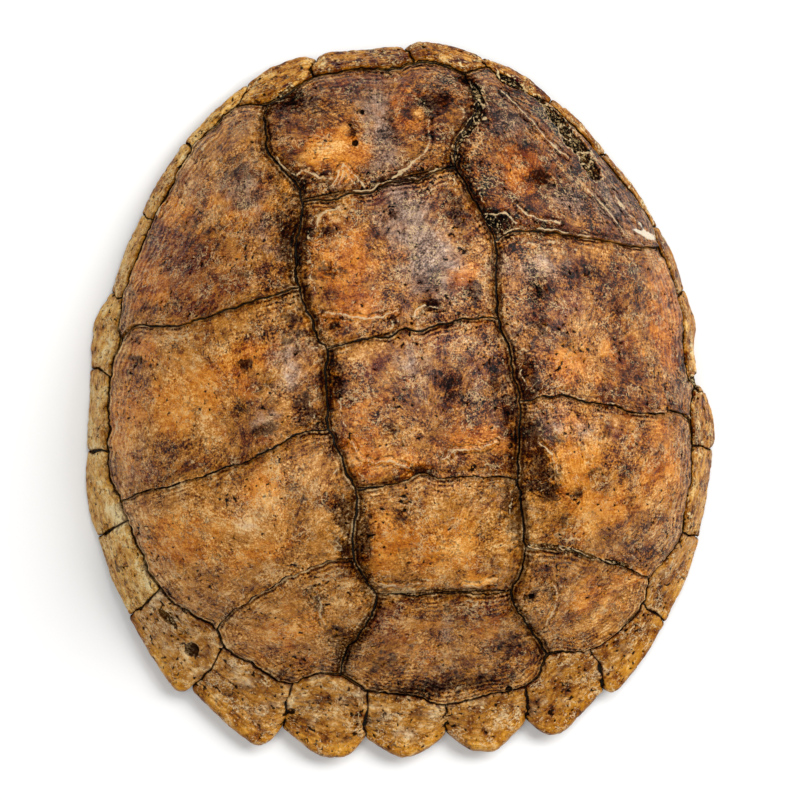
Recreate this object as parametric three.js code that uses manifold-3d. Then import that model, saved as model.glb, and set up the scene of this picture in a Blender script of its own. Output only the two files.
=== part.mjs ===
// Upper shell (carapace) of a snapping turtle: one domed plate of fused bone, roofed by thin plates
// of horn, the scutes. Millimetres, +Z up, +Y towards the animal's head, +X towards its right side.
// The origin is the middle of the shell's footprint, on the surface that it rests on.
import * as THREE from 'three';
import { mergeVertices } from 'three/addons/utils/BufferGeometryUtils.js';
import Module from 'manifold-3d';

// ---- driving dimensions -------------------------------------------------------------------------
const DOME_HEIGHT = 84; // top of the dome above the resting surface
const HORN = 1.2; // thickness of a scute
const BEDDING = 0.9; // dried-out space between a scute and the bone
const BONE = 5; // thickness of the bony plate
const EDGE = 6; // thickness of the free rim, horn included
const SEAM = 0.7; // width of the groove between two scutes
const SPINE_RADIUS = 5; // backbone, fused to the plate's underside along the middle
const SPINE_DROP = 2; // its centre line below the underside of the plate
const SPINE_ENDS = { front: 112, rear: -104 }; // its two ends, along Y
const UNDERLAP = 0.05; // share of the profile over which a marginal scute turns under the rim
const TOOTH_START = 0.87; // share of the profile from which the saw-toothed rim shows

// Rim height, slope of the rim below the horizontal, and the two handles of the dome's profile:
// how far the flat top reaches (share of the radius) and how long the straight flank is (mm).
const FLANK = { height: 1.5, slope: 72, crown: 0.62, run: 38 };
const FRONT = { height: 10, slope: 58, crown: 0.6, run: 36 };
const REAR = { height: 9, slope: 16, crown: 0.55, run: 44 };

// Between which sines of the direction, counted from straight sideways to straight ahead or back,
// the flank passes into the front and the rear, the rim lifts at the rear, and the bridge ends
const ENDS = {
  front: [0.3, 0.95],
  rear: [0.3, 0.95],
  lift: [0.2, 0.6],
  bridgeFront: [0.44, 0.66],
  bridgeRear: [0.28, 0.5],
};

// Colours of the pieces
const HORN_BROWN = 0x7a5230;
const HORN_STRAW = 0xb89c66;
const HORN_OCHRE = 0x9c6a2c;
const BONE_WHITE = 0xc9bda0;

// ---- outlines in plan ---------------------------------------------------------------------------
// The rim, counter-clockwise from the cervical scute: for each scute the points from its first seam
// up to the next scute's. The rearmost ones on both sides end in teeth.
const RIM = {
  cervical_scute: [[22, 147.5], [18.5, 148.5], [3.5, 149], [-10, 149.5]],
  marginal_scute_left_1: [[-15.5, 147.5], [-22, 149], [-36, 145.5]],
  marginal_scute_left_2: [[-45.5, 140.5], [-55.5, 134.5], [-65, 127.5]],
  marginal_scute_left_3: [[-74.5, 119.5], [-86.5, 106]],
  marginal_scute_left_4: [[-96, 92.5], [-104.5, 78.5]],
  marginal_scute_left_5: [[-112.5, 61.5], [-120, 52], [-123.5, 41]],
  marginal_scute_left_6: [[-125, 31], [-128, 14]],
  marginal_scute_left_7: [[-131, -2.5], [-133, -14.5], [-133, -29.5]],
  marginal_scute_left_8: [[-131, -38.5], [-128, -55.5]],
  marginal_scute_left_9: [[-122.5, -73], [-115.5, -90.5], [-108, -105], [-104, -107]],
  marginal_scute_left_10: [[-101, -106], [-91.5, -119], [-80.5, -131], [-76.5, -133.5], [-71.5, -132.5]],
  marginal_scute_left_11: [[-65.5, -127.5], [-59, -134.5], [-52, -141], [-46, -143], [-39, -142.5]],
  marginal_scute_left_12: [[-31.5, -136.5], [-22, -144.5], [-16.5, -147], [-10.5, -146.5], [-4.5, -144]],
  marginal_scute_right_12: [[2.5, -139.5], [11.5, -147.5], [16.5, -149], [22, -149.5], [27.5, -146]],
  marginal_scute_right_11: [[37, -139], [43, -145], [47, -146.5], [52, -145.5], [62, -138]],
  marginal_scute_right_10: [[71, -130.5], [74, -132], [78, -130.5], [90.5, -118.5]],
  marginal_scute_right_9: [[100.5, -106], [112, -88.5]],
  marginal_scute_right_8: [[119.5, -72.5], [126.5, -53]],
  marginal_scute_right_7: [[131.5, -36], [133, -31.5], [133, -20.5]],
  marginal_scute_right_6: [[131.5, -12], [128, -6.5], [128.5, 6.5], [131, 17], [130, 24.5]],
  marginal_scute_right_5: [[128, 32.5], [125, 48]],
  marginal_scute_right_4: [[120, 60.5], [111.5, 79]],
  marginal_scute_right_3: [[101.5, 94.5], [92, 108.5]],
  marginal_scute_right_2: [[81.5, 119.5], [69, 131.5]],
  marginal_scute_right_1: [[54.5, 140], [43.5, 145.5], [29, 149.5]],
};

// The inner edge of the same scutes, counter-clockwise, cut where another seam meets it.
const RING = {
  cervical_scute: [[24, 140.5], [11, 139], [-0.5, 141], [-9.5, 140]],
  marginal_scute_left_1: [[-19, 139.5], [-31, 134.5], [-39.5, 131]],
  marginal_scute_left_2: [[-51, 131.5], [-61, 126]],
  marginal_scute_left_3: [[-72.5, 116], [-82, 104]],
  marginal_scute_left_4: [[-92.5, 89], [-100, 76]],
  marginal_scute_left_5: [[-109, 58], [-111.5, 49], [-112, 41.5], [-115.5, 33]],
  marginal_scute_left_6: [[-118, 26.5], [-121, 9]],
  marginal_scute_left_7: [[-123.5, -4.5], [-123.5, -16], [-120.5, -24.5]],
  marginal_scute_left_8: [[-119, -33.5], [-113.5, -50.5]],
  marginal_scute_left_9: [[-109.5, -63], [-99, -73.5], [-89, -82]],
  marginal_scute_left_10: [[-86.5, -90], [-80, -95.5], [-70.5, -103]],
  marginal_scute_left_11: [[-60, -109], [-53, -106.5], [-46, -106], [-40, -108], [-34.5, -113]],
  marginal_scute_left_12: [[-29, -116.5], [-18.5, -119.5], [-8, -122.5]],
  marginal_scute_right_12: [[3, -127.5], [21.5, -125]],
  marginal_scute_right_11: [[36.5, -123.5], [43, -119.5], [47.5, -112.5], [56.5, -111.5]],
  marginal_scute_right_10: [[66, -112.5], [81, -105]],
  marginal_scute_right_9: [[91.5, -96.5], [93, -91.5], [94, -85], [103.5, -77]],
  marginal_scute_right_8: [[110, -68.5], [111.5, -59], [116, -45]],
  marginal_scute_right_7: [[118.5, -33], [119.5, -22], [121, -16.5]],
  marginal_scute_right_6: [[123, -9.5], [121, -2.5], [121, 8], [123.5, 19.5]],
  marginal_scute_right_5: [[123, 30], [120, 43.5], [117.5, 52]],
  marginal_scute_right_4: [[118, 61], [114.5, 68.5], [105.5, 82.5]],
  marginal_scute_right_3: [[98.5, 93], [87.5, 108]],
  marginal_scute_right_2: [[79.5, 118], [75, 119.5], [66.5, 123], [58, 129.5]],
  marginal_scute_right_1: [[54.5, 135], [43.5, 134], [38, 137], [31.5, 139.5]],
};

// The two long seams between the vertebral and the costal scutes, from the front to the rear. Each
// row is the side of one vertebral scute, and the next row's first point ends it. The seams between
// costal scutes start at points of these rows.
const LONG_SEAM = {
  left: [
    [[-39.5, 131], [-42, 122], [-43, 111.5], [-39, 101.5], [-34.5, 94.5]],
    [[-33, 87], [-37, 72.5], [-39.5, 60.5], [-40, 52], [-37.5, 40], [-35, 29.5]],
    [[-32.5, 25.5], [-34.5, 15], [-35, 3.5], [-36, -6], [-33, -15], [-31, -25]],
    [[-28, -31.5], [-30, -45.5], [-31, -59], [-27, -70]],
    [[-23.5, -76], [-26, -84], [-32, -92], [-37.5, -97.5]],
  ],
  right: [
    [[43.5, 134], [45, 125.5], [46, 118.5], [43, 112.5], [34, 104.5], [31.5, 98.5]],
    [[31, 93], [34.5, 80.5], [38, 69.5], [41.5, 61], [39.5, 48], [38.5, 36]],
    [[37.5, 29], [40, 18], [41, 5.5], [42, -4.5], [39.5, -20.5]],
    [[37.5, -35.5], [38, -50.5], [38.5, -64], [37, -73]],
    [[32.5, -81.5], [34, -90.5], [40, -100.5]],
  ],
};
// Where the long seams run out into the ring of marginal scutes, at the rear.
const LONG_SEAM_END = { left: [-40, -108], right: [47.5, -112.5] };

// Seams between two vertebral scutes, inner points only, from left to right.
const VERTEBRAL_SEAMS = [
  [[-19.5, 86], [-15.5, 87], [-6, 86], [-0.5, 89], [15, 89], [24, 92]],
  [[-25, 27], [-7, 27.5], [-1.5, 30], [5.5, 28.5], [22, 30.5]],
  [[-18.5, -31], [-8.5, -30.5], [-2, -28.5], [6, -31], [24, -32.5]],
  [[-14, -77], [2, -78], [16.5, -80.5]],
];
// Seams between two costal scutes, from the long seam out to the ring, both ends included.
const COSTAL_SEAMS = {
  left: [
    [[-40, 52], [-54.5, 49.5], [-69.5, 46.5], [-83.5, 44], [-95.5, 44], [-105, 46], [-112, 41.5]],
    [[-36, -6], [-48, -6], [-62.5, -12], [-82, -17], [-100, -20.5], [-112, -22.5], [-120.5, -24.5]],
    [[-31, -59], [-45, -59.5], [-53, -61.5], [-68.5, -68], [-81.5, -75], [-89, -82]],
  ],
  right: [
    [[41.5, 61], [47, 63], [54.5, 63.5], [69.5, 60.5], [82.5, 57.5], [96, 54], [106, 52], [117.5, 52]],
    [[42, -4.5], [52.5, -4.5], [59.5, -4.5], [69, -8], [84, -12.5], [98, -17], [110.5, -17.5], [119.5, -22]],
    [[38.5, -64], [55.5, -67.5], [71, -74], [83.5, -79], [94, -85]],
  ],
};

// ---- the dome's surface -------------------------------------------------------------------------
const TURN = 2 * Math.PI;
const NAMES = Object.keys(RIM);
const mix = (a, b, share) => a + (b - a) * share;
// Smooth rise from 0 to 1 between two limits
const rampFrom = (value, [low, high]) => THREE.MathUtils.smoothstep(value, low, high);
const angleOf = ([x, y]) => Math.atan2(y, x);
// The same direction, given as the angle nearest to a reference
const nearTo = (angle, reference) => angle - TURN * Math.round((angle - reference) / TURN);

const rimPoints = NAMES.flatMap((name) => RIM[name]);
const rimAngles = rimPoints.map(angleOf);
const rimRadii = rimPoints.map(([x, y]) => Math.hypot(x, y));

// Radius of the toothed rim in a direction
function rimRadius(angle) {
  for (let i = 0; i < rimPoints.length; i += 1) {
    const next = (i + 1) % rimPoints.length;
    const end = rimAngles[i] + ((rimAngles[next] - rimAngles[i] + TURN) % TURN);
    const here = rimAngles[i] + ((angle - rimAngles[i] + 2 * TURN) % TURN);
    if (here <= end) {
      return mix(rimRadii[i], rimRadii[next], (here - rimAngles[i]) / (end - rimAngles[i]));
    }
  }
  return rimRadii[0];
}

// Radius of the body of the shell: the rim with its teeth and nicks evened out
function bodyRadius(angle) {
  const reach = THREE.MathUtils.degToRad(24);
  const samples = 12;
  let sum = 0;
  let weights = 0;
  for (let i = -samples; i <= samples; i += 1) {
    const weight = Math.cos((i / (samples + 1)) * (Math.PI / 2)) ** 2;
    sum += weight * rimRadius(angle + (i / samples) * reach);
    weights += weight;
  }
  return sum / weights;
}

// The profile in one direction, between the flank's, the front's and the rear's
function profileAt(angle) {
  const ahead = Math.sin(angle);
  const front = rampFrom(ahead, ENDS.front);
  const rear = rampFrom(-ahead, ENDS.rear);
  const blend = (key, tail) => {
    const flank = FLANK[key];
    return flank + (FRONT[key] - flank) * front + (REAR[key] - flank) * tail;
  };
  return {
    height: blend('height', rampFrom(-ahead, ENDS.lift)),
    slope: THREE.MathUtils.degToRad(blend('slope', rear)),
    crown: blend('crown', rear),
    run: blend('run', rear),
    bridge: 1 - rampFrom(ahead, ENDS.bridgeFront) - rampFrom(-ahead, ENDS.bridgeRear),
  };
}

// Handles of the profile's cubic curve, as [radius, height]
function handles(angle, radius) {
  const { height, slope, crown, run } = profileAt(angle);
  const shoulder = [radius - run * Math.cos(slope), height + run * Math.sin(slope)];
  return [[0, DOME_HEIGHT], [crown * radius, DOME_HEIGHT], shoulder, [radius, height]];
}

function cubic(points, t) {
  const s = 1 - t;
  const weights = [s * s * s, 3 * s * s * t, 3 * s * t * t, t * t * t];
  return [0, 1].map((axis) => points.reduce((sum, point, i) => sum + weights[i] * point[axis], 0));
}

function cubicSlope(points, t) {
  const s = 1 - t;
  const weights = [3 * s * s, 6 * s * t, 3 * t * t];
  const step = (i, axis) => points[i + 1][axis] - points[i][axis];
  return [0, 1].map((axis) => weights.reduce((sum, weight, i) => sum + weight * step(i, axis), 0));
}

// A place on the shell is [t, angle, turn]: t runs along the profile from the top (0) to the rim (1),
// and turn goes from 0 on the upper side over the rim's round edge to 180 degrees on the underside.
// The edge is round about a line that lies 'core' below the upper surface, with the given radius.
function spot([t, angle, turn = 0], core, radius) {
  const body = bodyRadius(angle);
  const points = handles(angle, body);
  const [r, z] = cubic(points, t);
  const [dr, dz] = cubicSlope(points, t);
  const length = Math.hypot(dr, dz);
  const along = [dr / length, dz / length];
  const normal = [-along[1], along[0]];
  const tooth = Math.max(0, (t - TOOTH_START) / (1 - TOOTH_START));
  const { slope, bridge } = profileAt(angle);
  const bulge = (EDGE / 2) * (1 - Math.sin(slope)) * (1 - bridge);
  const stretch = (rimRadius(angle) - body - bulge) * tooth;
  const out = -core + radius * Math.cos(THREE.MathUtils.degToRad(turn));
  const onward = radius * Math.sin(THREE.MathUtils.degToRad(turn));
  const plan = r + stretch + normal[0] * out + along[0] * onward;
  const height = Math.max(0, z + normal[1] * out + along[1] * onward);
  return [plan * Math.cos(angle), plan * Math.sin(angle), height];
}

// A place on the horn, at a depth below its outer face
const onHorn = (place, depth) => spot(place, EDGE / 2, EDGE / 2 - depth);

// The place on the upper side that lies over a point in plan
function placeOver(point) {
  const angle = angleOf(point);
  const target = Math.hypot(...point);
  const points = handles(angle, bodyRadius(angle));
  let low = 0;
  let high = 1;
  for (let i = 0; i < 30; i += 1) {
    const middle = (low + high) / 2;
    if (cubic(points, middle)[0] < target) {
      low = middle;
    } else {
      high = middle;
    }
  }
  return [(low + high) / 2, angle, 0];
}

// ---- meshes -------------------------------------------------------------------------------------
// Fills the strip between two rows of vertex numbers that run the same way, counter-clockwise
function zip(inner, outer, faces) {
  let i = 0;
  let j = 0;
  while (i < inner.length - 1 || j < outer.length - 1) {
    const innerShare = (i + 1) / Math.max(1, inner.length - 1);
    const outerShare = (j + 1) / Math.max(1, outer.length - 1);
    if (j < outer.length - 1 && (i === inner.length - 1 || outerShare <= innerShare)) {
      faces.push([inner[i], outer[j], outer[j + 1]]);
      j += 1;
    } else {
      faces.push([inner[i], outer[j], inner[i + 1]]);
      i += 1;
    }
  }
}

function geometryOf(vertices, faces) {
  const geometry = new THREE.BufferGeometry();
  geometry.setAttribute('position', new THREE.Float32BufferAttribute(vertices.flat(), 3));
  geometry.setIndex(faces.flat());
  geometry.computeVertexNormals();
  return geometry;
}

// A sheet of places becomes a plate of horn: its outer face, its inner face and the walls between
function plateOf({ places, faces }) {
  const count = places.length;
  const vertices = [...places.map((p) => onHorn(p, 0)), ...places.map((p) => onHorn(p, HORN))];
  const directed = new Set(faces.flatMap(([a, b, c]) => [`${a} ${b}`, `${b} ${c}`, `${c} ${a}`]));
  const solid = [...faces, ...faces.map(([a, b, c]) => [c + count, b + count, a + count])];
  for (const edge of directed) {
    const [a, b] = edge.split(' ').map(Number);
    if (!directed.has(`${b} ${a}`)) {
      solid.push([b, a, a + count], [b, a + count, b + count]);
    }
  }
  return geometryOf(vertices, solid);
}

// Draws a closed outline in by a distance
function drawIn(outline, distance) {
  const unit = (from, to) => {
    const length = Math.hypot(to[0] - from[0], to[1] - from[1]);
    return [(to[0] - from[0]) / length, (to[1] - from[1]) / length];
  };
  return outline.map((point, i) => {
    const [ax, ay] = unit(outline[(i + outline.length - 1) % outline.length], point);
    const [bx, by] = unit(point, outline[(i + 1) % outline.length]);
    const widen = Math.min(2, 1 / Math.max(0.4, Math.sqrt((1 + ax * bx + ay * by) / 2)));
    const size = Math.hypot(ax + bx, ay + by);
    const step = (distance * widen) / size;
    return [point[0] - (ay + by) * step, point[1] + (ax + bx) * step];
  });
}

// A scute inside the ring: rows of its outline, each nearer to the middle than the last
const VERTEBRAL_ROWS = [1, 0.7, 0.35];
const COSTAL_ROWS = [1, 0.8, 0.55, 0.26];
function innerScute(outline, shares) {
  const edge = drawIn(outline, SEAM / 2);
  const middle = [0, 1].map((axis) => edge.reduce((sum, p) => sum + p[axis], 0) / edge.length);
  const places = [];
  const faces = [];
  const rows = shares.map((share) => {
    const row = edge.map((p) => {
      places.push(placeOver([mix(middle[0], p[0], share), mix(middle[1], p[1], share)]));
      return places.length - 1;
    });
    return [...row, row[0]];
  });
  places.push(placeOver(middle));
  rows.push([places.length - 1]);
  for (let i = 0; i < rows.length - 1; i += 1) {
    zip(rows[i + 1], rows[i], faces);
  }
  return plateOf({ places, faces });
}

// The place a share of the way along a list of places
function between(list, share) {
  const position = share * (list.length - 1);
  const i = Math.min(list.length - 2, Math.floor(position));
  return [0, 1].map((k) => mix(list[i][k], list[i + 1][k], position - i));
}

// Moves a point away from the origin, and round it counter-clockwise
function nudge([x, y], away, around) {
  const r = Math.hypot(x, y);
  return [x + (x * away - y * around) / r, y + (y * away + x * around) / r];
}

// Over the bridge the lower shell was joined on, so the horn ends at the rim there
const BRIDGE_SCUTES = [4, 5, 6, 7, 8];
const FLANK_ROWS = [0.4, 0.75];
const EDGE_TURNS = [60, 120, 180];
const turnsUnder = (name) => !BRIDGE_SCUTES.some((n) => name.endsWith(`_${n}`));

// A scute of the ring: from its inner edge down to the rim, and round it where the rim is free
function ringScute(name) {
  const next = NAMES[(NAMES.indexOf(name) + 1) % NAMES.length];
  const gap = SEAM / 2;
  const side = (list, i) => (i === 0 ? gap : 0) - (i === list.length - 1 ? gap : 0);
  const rimList = [...RIM[name], RIM[next][0]];
  const ringList = [...RING[name], RING[next][0]];
  const start = angleOf(rimList[0]);
  const unwind = ([t, angle]) => [t, nearTo(angle, start)];
  const ring = ringList.map((p, i) => unwind(placeOver(nudge(p, gap, side(ringList, i)))));
  const rim = rimList.map((p, i) => unwind([1, angleOf(nudge(p, 0, side(rimList, i)))]));
  const rowAt = (share) => rim.map(([t, angle], i) => {
    const [ringT, ringAngle] = between(ring, i / (rim.length - 1));
    return [mix(ringT, t, share), mix(ringAngle, angle, share)];
  });
  const rows = [ring, ...FLANK_ROWS.map(rowAt), rim];
  if (turnsUnder(name)) {
    for (const turn of EDGE_TURNS) {
      rows.push(rim.map(([t, angle]) => [t, angle, turn]));
    }
    rows.push(rim.map(([, angle]) => [1 - UNDERLAP, angle, 180]));
  }
  const places = rows.flat();
  const faces = [];
  let first = 0;
  const numbers = rows.map((row) => row.map(() => first++));
  for (let i = 0; i < numbers.length - 1; i += 1) {
    zip(numbers[i], numbers[i + 1], faces);
  }
  return plateOf({ places, faces });
}

// ---- the bony plate -----------------------------------------------------------------------------
const BONE_TOP = HORN + BEDDING;
const UPPER_ROWS = [0.16, 0.33, 0.5, 0.65, 0.77, 0.87, 0.935, 1];
const EDGE_ROWS = [55, 125];
const UNDER_ROWS = [1, 0.94, 0.88, 0.72, 0.5, 0.25];
const FULL_DEPTH_FROM = 0.9; // nearer to the rim than this the plate is as thin as its edge

function boneGeometry() {
  // Over the bridge the edge is as thick as the plate; where horn turns under, it is thinner
  const place = (t, angle, turn) => {
    const share = profileAt(angle).bridge;
    const thin = EDGE / 2 - BONE_TOP;
    const radius = mix(thin, BONE / 2, share);
    if (turn === 180 && t < FULL_DEPTH_FROM) {
      return spot([t, angle, turn], BONE_TOP + BONE / 2, BONE / 2);
    }
    return spot([t, angle, turn], BONE_TOP + radius, radius);
  };
  const vertices = [];
  const ringAt = (t, turn) => {
    const row = rimAngles.map((angle) => {
      vertices.push(place(t, angle, turn));
      return vertices.length - 1;
    });
    return [...row, row[0]];
  };
  const poleAt = (turn) => {
    vertices.push(place(0, 0, turn));
    return [vertices.length - 1];
  };
  const rows = [
    poleAt(0),
    ...UPPER_ROWS.map((t) => ringAt(t, 0)),
    ...EDGE_ROWS.map((turn) => ringAt(1, turn)),
    ...UNDER_ROWS.map((t) => ringAt(t, 180)),
    poleAt(180),
  ];
  const faces = [];
  for (let i = 0; i < rows.length - 1; i += 1) {
    zip(rows[i], rows[i + 1], faces);
  }
  return geometryOf(vertices, faces);
}

// The backbone: a round bar that follows the underside of the plate from front to rear
const SPINE_POINTS = 12;
const SPINE_SIDES = 8;
function spineGeometry() {
  const depth = BONE_TOP + BONE + SPINE_DROP;
  const points = Array.from({ length: SPINE_POINTS }, (_, i) => {
    const y = mix(SPINE_ENDS.front, SPINE_ENDS.rear, i / (SPINE_POINTS - 1));
    return new THREE.Vector3(...spot(placeOver([0, y]), depth, 0));
  });
  const section = new THREE.Shape();
  section.absarc(0, 0, SPINE_RADIUS, 0, TURN);
  return new THREE.ExtrudeGeometry(section, {
    steps: SPINE_POINTS,
    curveSegments: SPINE_SIDES,
    bevelEnabled: false,
    extrudePath: new THREE.CatmullRomCurve3(points),
  });
}

const wasm = await Module();
wasm.setup();

function solidOf(geometry) {
  const bare = geometry.clone();
  bare.deleteAttribute('normal');
  bare.deleteAttribute('uv');
  const merged = mergeVertices(bare, 1e-3);
  const vertProperties = new Float32Array(merged.getAttribute('position').array);
  const triVerts = new Uint32Array(merged.getIndex().array);
  return new wasm.Manifold(new wasm.Mesh({ numProp: 3, vertProperties, triVerts }));
}

function joined(first, second) {
  const mesh = solidOf(first).add(solidOf(second)).getMesh();
  const geometry = new THREE.BufferGeometry();
  geometry.setAttribute('position', new THREE.BufferAttribute(mesh.vertProperties, 3));
  geometry.setIndex(new THREE.BufferAttribute(mesh.triVerts, 1));
  geometry.computeVertexNormals();
  return geometry;
}

// ---- the scutes' outlines -----------------------------------------------------------------------
const ringLine = NAMES.flatMap((name) => RING[name]);

// The part of the ring's inner edge from one point to another, counter-clockwise, without the last
function ringPart(from, to) {
  const find = (point) => ringLine.findIndex(([x, y]) => x === point[0] && y === point[1]);
  const start = find(from);
  const steps = (find(to) - start + ringLine.length) % ringLine.length;
  return Array.from({ length: steps }, (_, i) => ringLine[(start + i) % ringLine.length]);
}

// Start of the side of a vertebral scute, or the long seam's end after the last
function cornerOf(side, i) {
  return i < LONG_SEAM[side].length ? LONG_SEAM[side][i][0] : LONG_SEAM_END[side];
}

function vertebralOutline(i) {
  const last = LONG_SEAM.left.length - 1;
  const front = i === 0
    ? ringPart(cornerOf('right', 0), cornerOf('left', 0))
    : [cornerOf('right', i), ...VERTEBRAL_SEAMS[i - 1].toReversed()];
  const rear = i === last
    ? ringPart(LONG_SEAM_END.left, LONG_SEAM_END.right)
    : [cornerOf('left', i + 1), ...VERTEBRAL_SEAMS[i]];
  const right = [...LONG_SEAM.right[i].slice(1), cornerOf('right', i + 1)].toReversed();
  return [...front, ...LONG_SEAM.left[i], ...rear, ...right];
}

function costalOutline(side, i) {
  const seams = COSTAL_SEAMS[side];
  const long = [...LONG_SEAM[side].flat(), LONG_SEAM_END[side]];
  const index = (point) => long.findIndex(([x, y]) => x === point[0] && y === point[1]);
  const from = i === 0 ? 0 : index(seams[i - 1][0]);
  const to = i === seams.length ? long.length - 1 : index(seams[i][0]);
  const inner = long.slice(from, to + 1);
  const front = i === 0 ? [long[0]] : seams[i - 1];
  const rear = i === seams.length ? [long[long.length - 1]] : seams[i];
  const out = (line) => line.slice(0, -1);
  const back = (line) => out(line.toReversed());
  // The left side's outline goes out along the front seam; the right side's along the rear seam
  if (side === 'left') {
    const outer = ringPart(front[front.length - 1], rear[rear.length - 1]);
    return [...out(front), ...outer, ...back(rear), ...back(inner)];
  }
  const outer = ringPart(rear[rear.length - 1], front[front.length - 1]);
  return [...out(rear), ...outer, ...back(front), ...out(inner)];
}

// ---- assembly -----------------------------------------------------------------------------------
const shell = new THREE.Group();

function add(name, geometry, color, roughness) {
  const material = new THREE.MeshStandardMaterial({ color, roughness, metalness: 0 });
  const mesh = new THREE.Mesh(geometry, material);
  mesh.name = name;
  shell.add(mesh);
}

add('bony_carapace', joined(boneGeometry(), spineGeometry()), BONE_WHITE, 0.8);

for (let i = 0; i < LONG_SEAM.left.length; i += 1) {
  add(`vertebral_scute_${i + 1}`, innerScute(vertebralOutline(i), VERTEBRAL_ROWS), HORN_BROWN, 0.5);
}

for (const side of ['left', 'right']) {
  for (let i = 0; i <= COSTAL_SEAMS[side].length; i += 1) {
    add(`costal_scute_${side}_${i + 1}`, innerScute(costalOutline(side, i), COSTAL_ROWS), HORN_BROWN, 0.5);
  }
}

for (const name of NAMES) {
  add(name, ringScute(name), turnsUnder(name) ? HORN_OCHRE : HORN_STRAW, 0.55);
}

export default shell;
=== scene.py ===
"""Upper shell of a snapping turtle: horn plates on a dome of bone, on a pale studio floor.

Lengths are worked out in millimetres, +Z up and +Y towards the head, and become metres where a mesh
is made.
"""

import itertools
import logging
import math
from dataclasses import dataclass, field
from enum import Enum

import bpy
import numpy as np
from mathutils import Matrix, Vector
from mathutils.kdtree import KDTree


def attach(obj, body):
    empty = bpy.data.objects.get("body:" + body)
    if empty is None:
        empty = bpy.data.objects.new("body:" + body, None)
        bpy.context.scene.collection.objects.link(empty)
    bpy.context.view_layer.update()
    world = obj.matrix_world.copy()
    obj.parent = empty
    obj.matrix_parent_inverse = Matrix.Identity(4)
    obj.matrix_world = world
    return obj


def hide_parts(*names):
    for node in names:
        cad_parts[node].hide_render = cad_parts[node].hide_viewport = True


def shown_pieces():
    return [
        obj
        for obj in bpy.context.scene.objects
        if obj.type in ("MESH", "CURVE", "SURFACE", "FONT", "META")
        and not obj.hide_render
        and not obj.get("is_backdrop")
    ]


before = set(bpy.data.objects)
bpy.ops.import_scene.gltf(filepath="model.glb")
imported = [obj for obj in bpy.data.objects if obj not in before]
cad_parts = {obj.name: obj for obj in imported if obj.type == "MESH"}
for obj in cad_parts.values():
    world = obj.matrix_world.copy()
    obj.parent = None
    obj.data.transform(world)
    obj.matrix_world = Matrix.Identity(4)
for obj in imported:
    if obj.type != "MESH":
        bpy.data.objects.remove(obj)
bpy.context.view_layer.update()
LOG = logging.getLogger("turtle_shell")

Point = tuple[float, float]
Array = np.ndarray
Fields = dict[str, Array]
Piece = bpy.types.Object
Tree = bpy.types.NodeTree
Socket = bpy.types.NodeSocket
Colour = tuple[float, float, float, float]

MM = 0.001  # metres in a millimetre
TURN = 2 * math.pi

# ---- the dome, as the frame has it ----------------------------------------------------------------
DOME_HEIGHT = 84.0
EDGE = 6.0  # thickness of the free rim, horn included
HORN = 1.6  # thickness of a scute where it is whole
BONE_TOP = 2.1  # depth of the bone's upper face
BONE = 5.0
TOOTH_START = 0.87  # share of the profile from which the saw-toothed rim shows
UNDERLAP = 0.05  # share of the profile over which a marginal scute turns under
DEEPEST = -1.35  # lowest that a face may lie, which is still over the horn's underside
BRIDGE_SCUTES = range(4, 9)  # marginal scutes whose rim is joined to the lower shell
REAR_SCUTES = range(9, 13)  # marginal scutes with teeth
DIRECTIONS = 721  # in which the body's outline is kept
BODY_REACH = math.radians(24)  # over which the rim is evened out into the body's outline
RIM_RADIUS = 130.0  # that turns a direction into a length along the rim

# The scutes of the ring, counter-clockwise: the one at the neck, down the left side, up the right
RING_NAMES = [
    "cervical_scute",
    *(f"marginal_scute_left_{n}" for n in range(1, 13)),
    *(f"marginal_scute_right_{n}" for n in range(12, 0, -1)),
]
# The scute that follows each one
FOLLOWERS = dict(zip(RING_NAMES, RING_NAMES[1:] + RING_NAMES[:1]))
# Each one's points on the rim, from its first side seam up to the next scute's
RIM = dict(zip(RING_NAMES, [
    [(22, 147.5), (18.5, 148.5), (3.5, 149), (-10, 149.5)], [(-15.5, 147.5), (-22, 149), (-36, 145.5)],
    [(-45.5, 140.5), (-55.5, 134.5), (-65, 127.5)], [(-74.5, 119.5), (-86.5, 106)],
    [(-96, 92.5), (-104.5, 78.5)], [(-112.5, 61.5), (-120, 52), (-123.5, 41)], [(-125, 31), (-128, 14)],
    [(-131, -2.5), (-133, -14.5), (-133, -29.5)], [(-131, -38.5), (-128, -55.5)],
    [(-122.5, -73), (-115.5, -90.5), (-108, -105), (-104, -107)],
    [(-101, -106), (-91.5, -119), (-80.5, -131), (-76.5, -133.5), (-71.5, -132.5)],
    [(-65.5, -127.5), (-59, -134.5), (-52, -141), (-46, -143), (-39, -142.5)],
    [(-31.5, -136.5), (-22, -144.5), (-16.5, -147), (-10.5, -146.5), (-4.5, -144)],
    [(2.5, -139.5), (11.5, -147.5), (16.5, -149), (22, -149.5), (27.5, -146)],
    [(37, -139), (43, -145), (47, -146.5), (52, -145.5), (62, -138)],
    [(71, -130.5), (74, -132), (78, -130.5), (90.5, -118.5)], [(100.5, -106), (112, -88.5)],
    [(119.5, -72.5), (126.5, -53)], [(131.5, -36), (133, -31.5), (133, -20.5)],
    [(131.5, -12), (128, -6.5), (128.5, 6.5), (131, 17), (130, 24.5)], [(128, 32.5), (125, 48)],
    [(120, 60.5), (111.5, 79)], [(101.5, 94.5), (92, 108.5)], [(81.5, 119.5), (69, 131.5)],
    [(54.5, 140), (43.5, 145.5), (29, 149.5)],
]))
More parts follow.
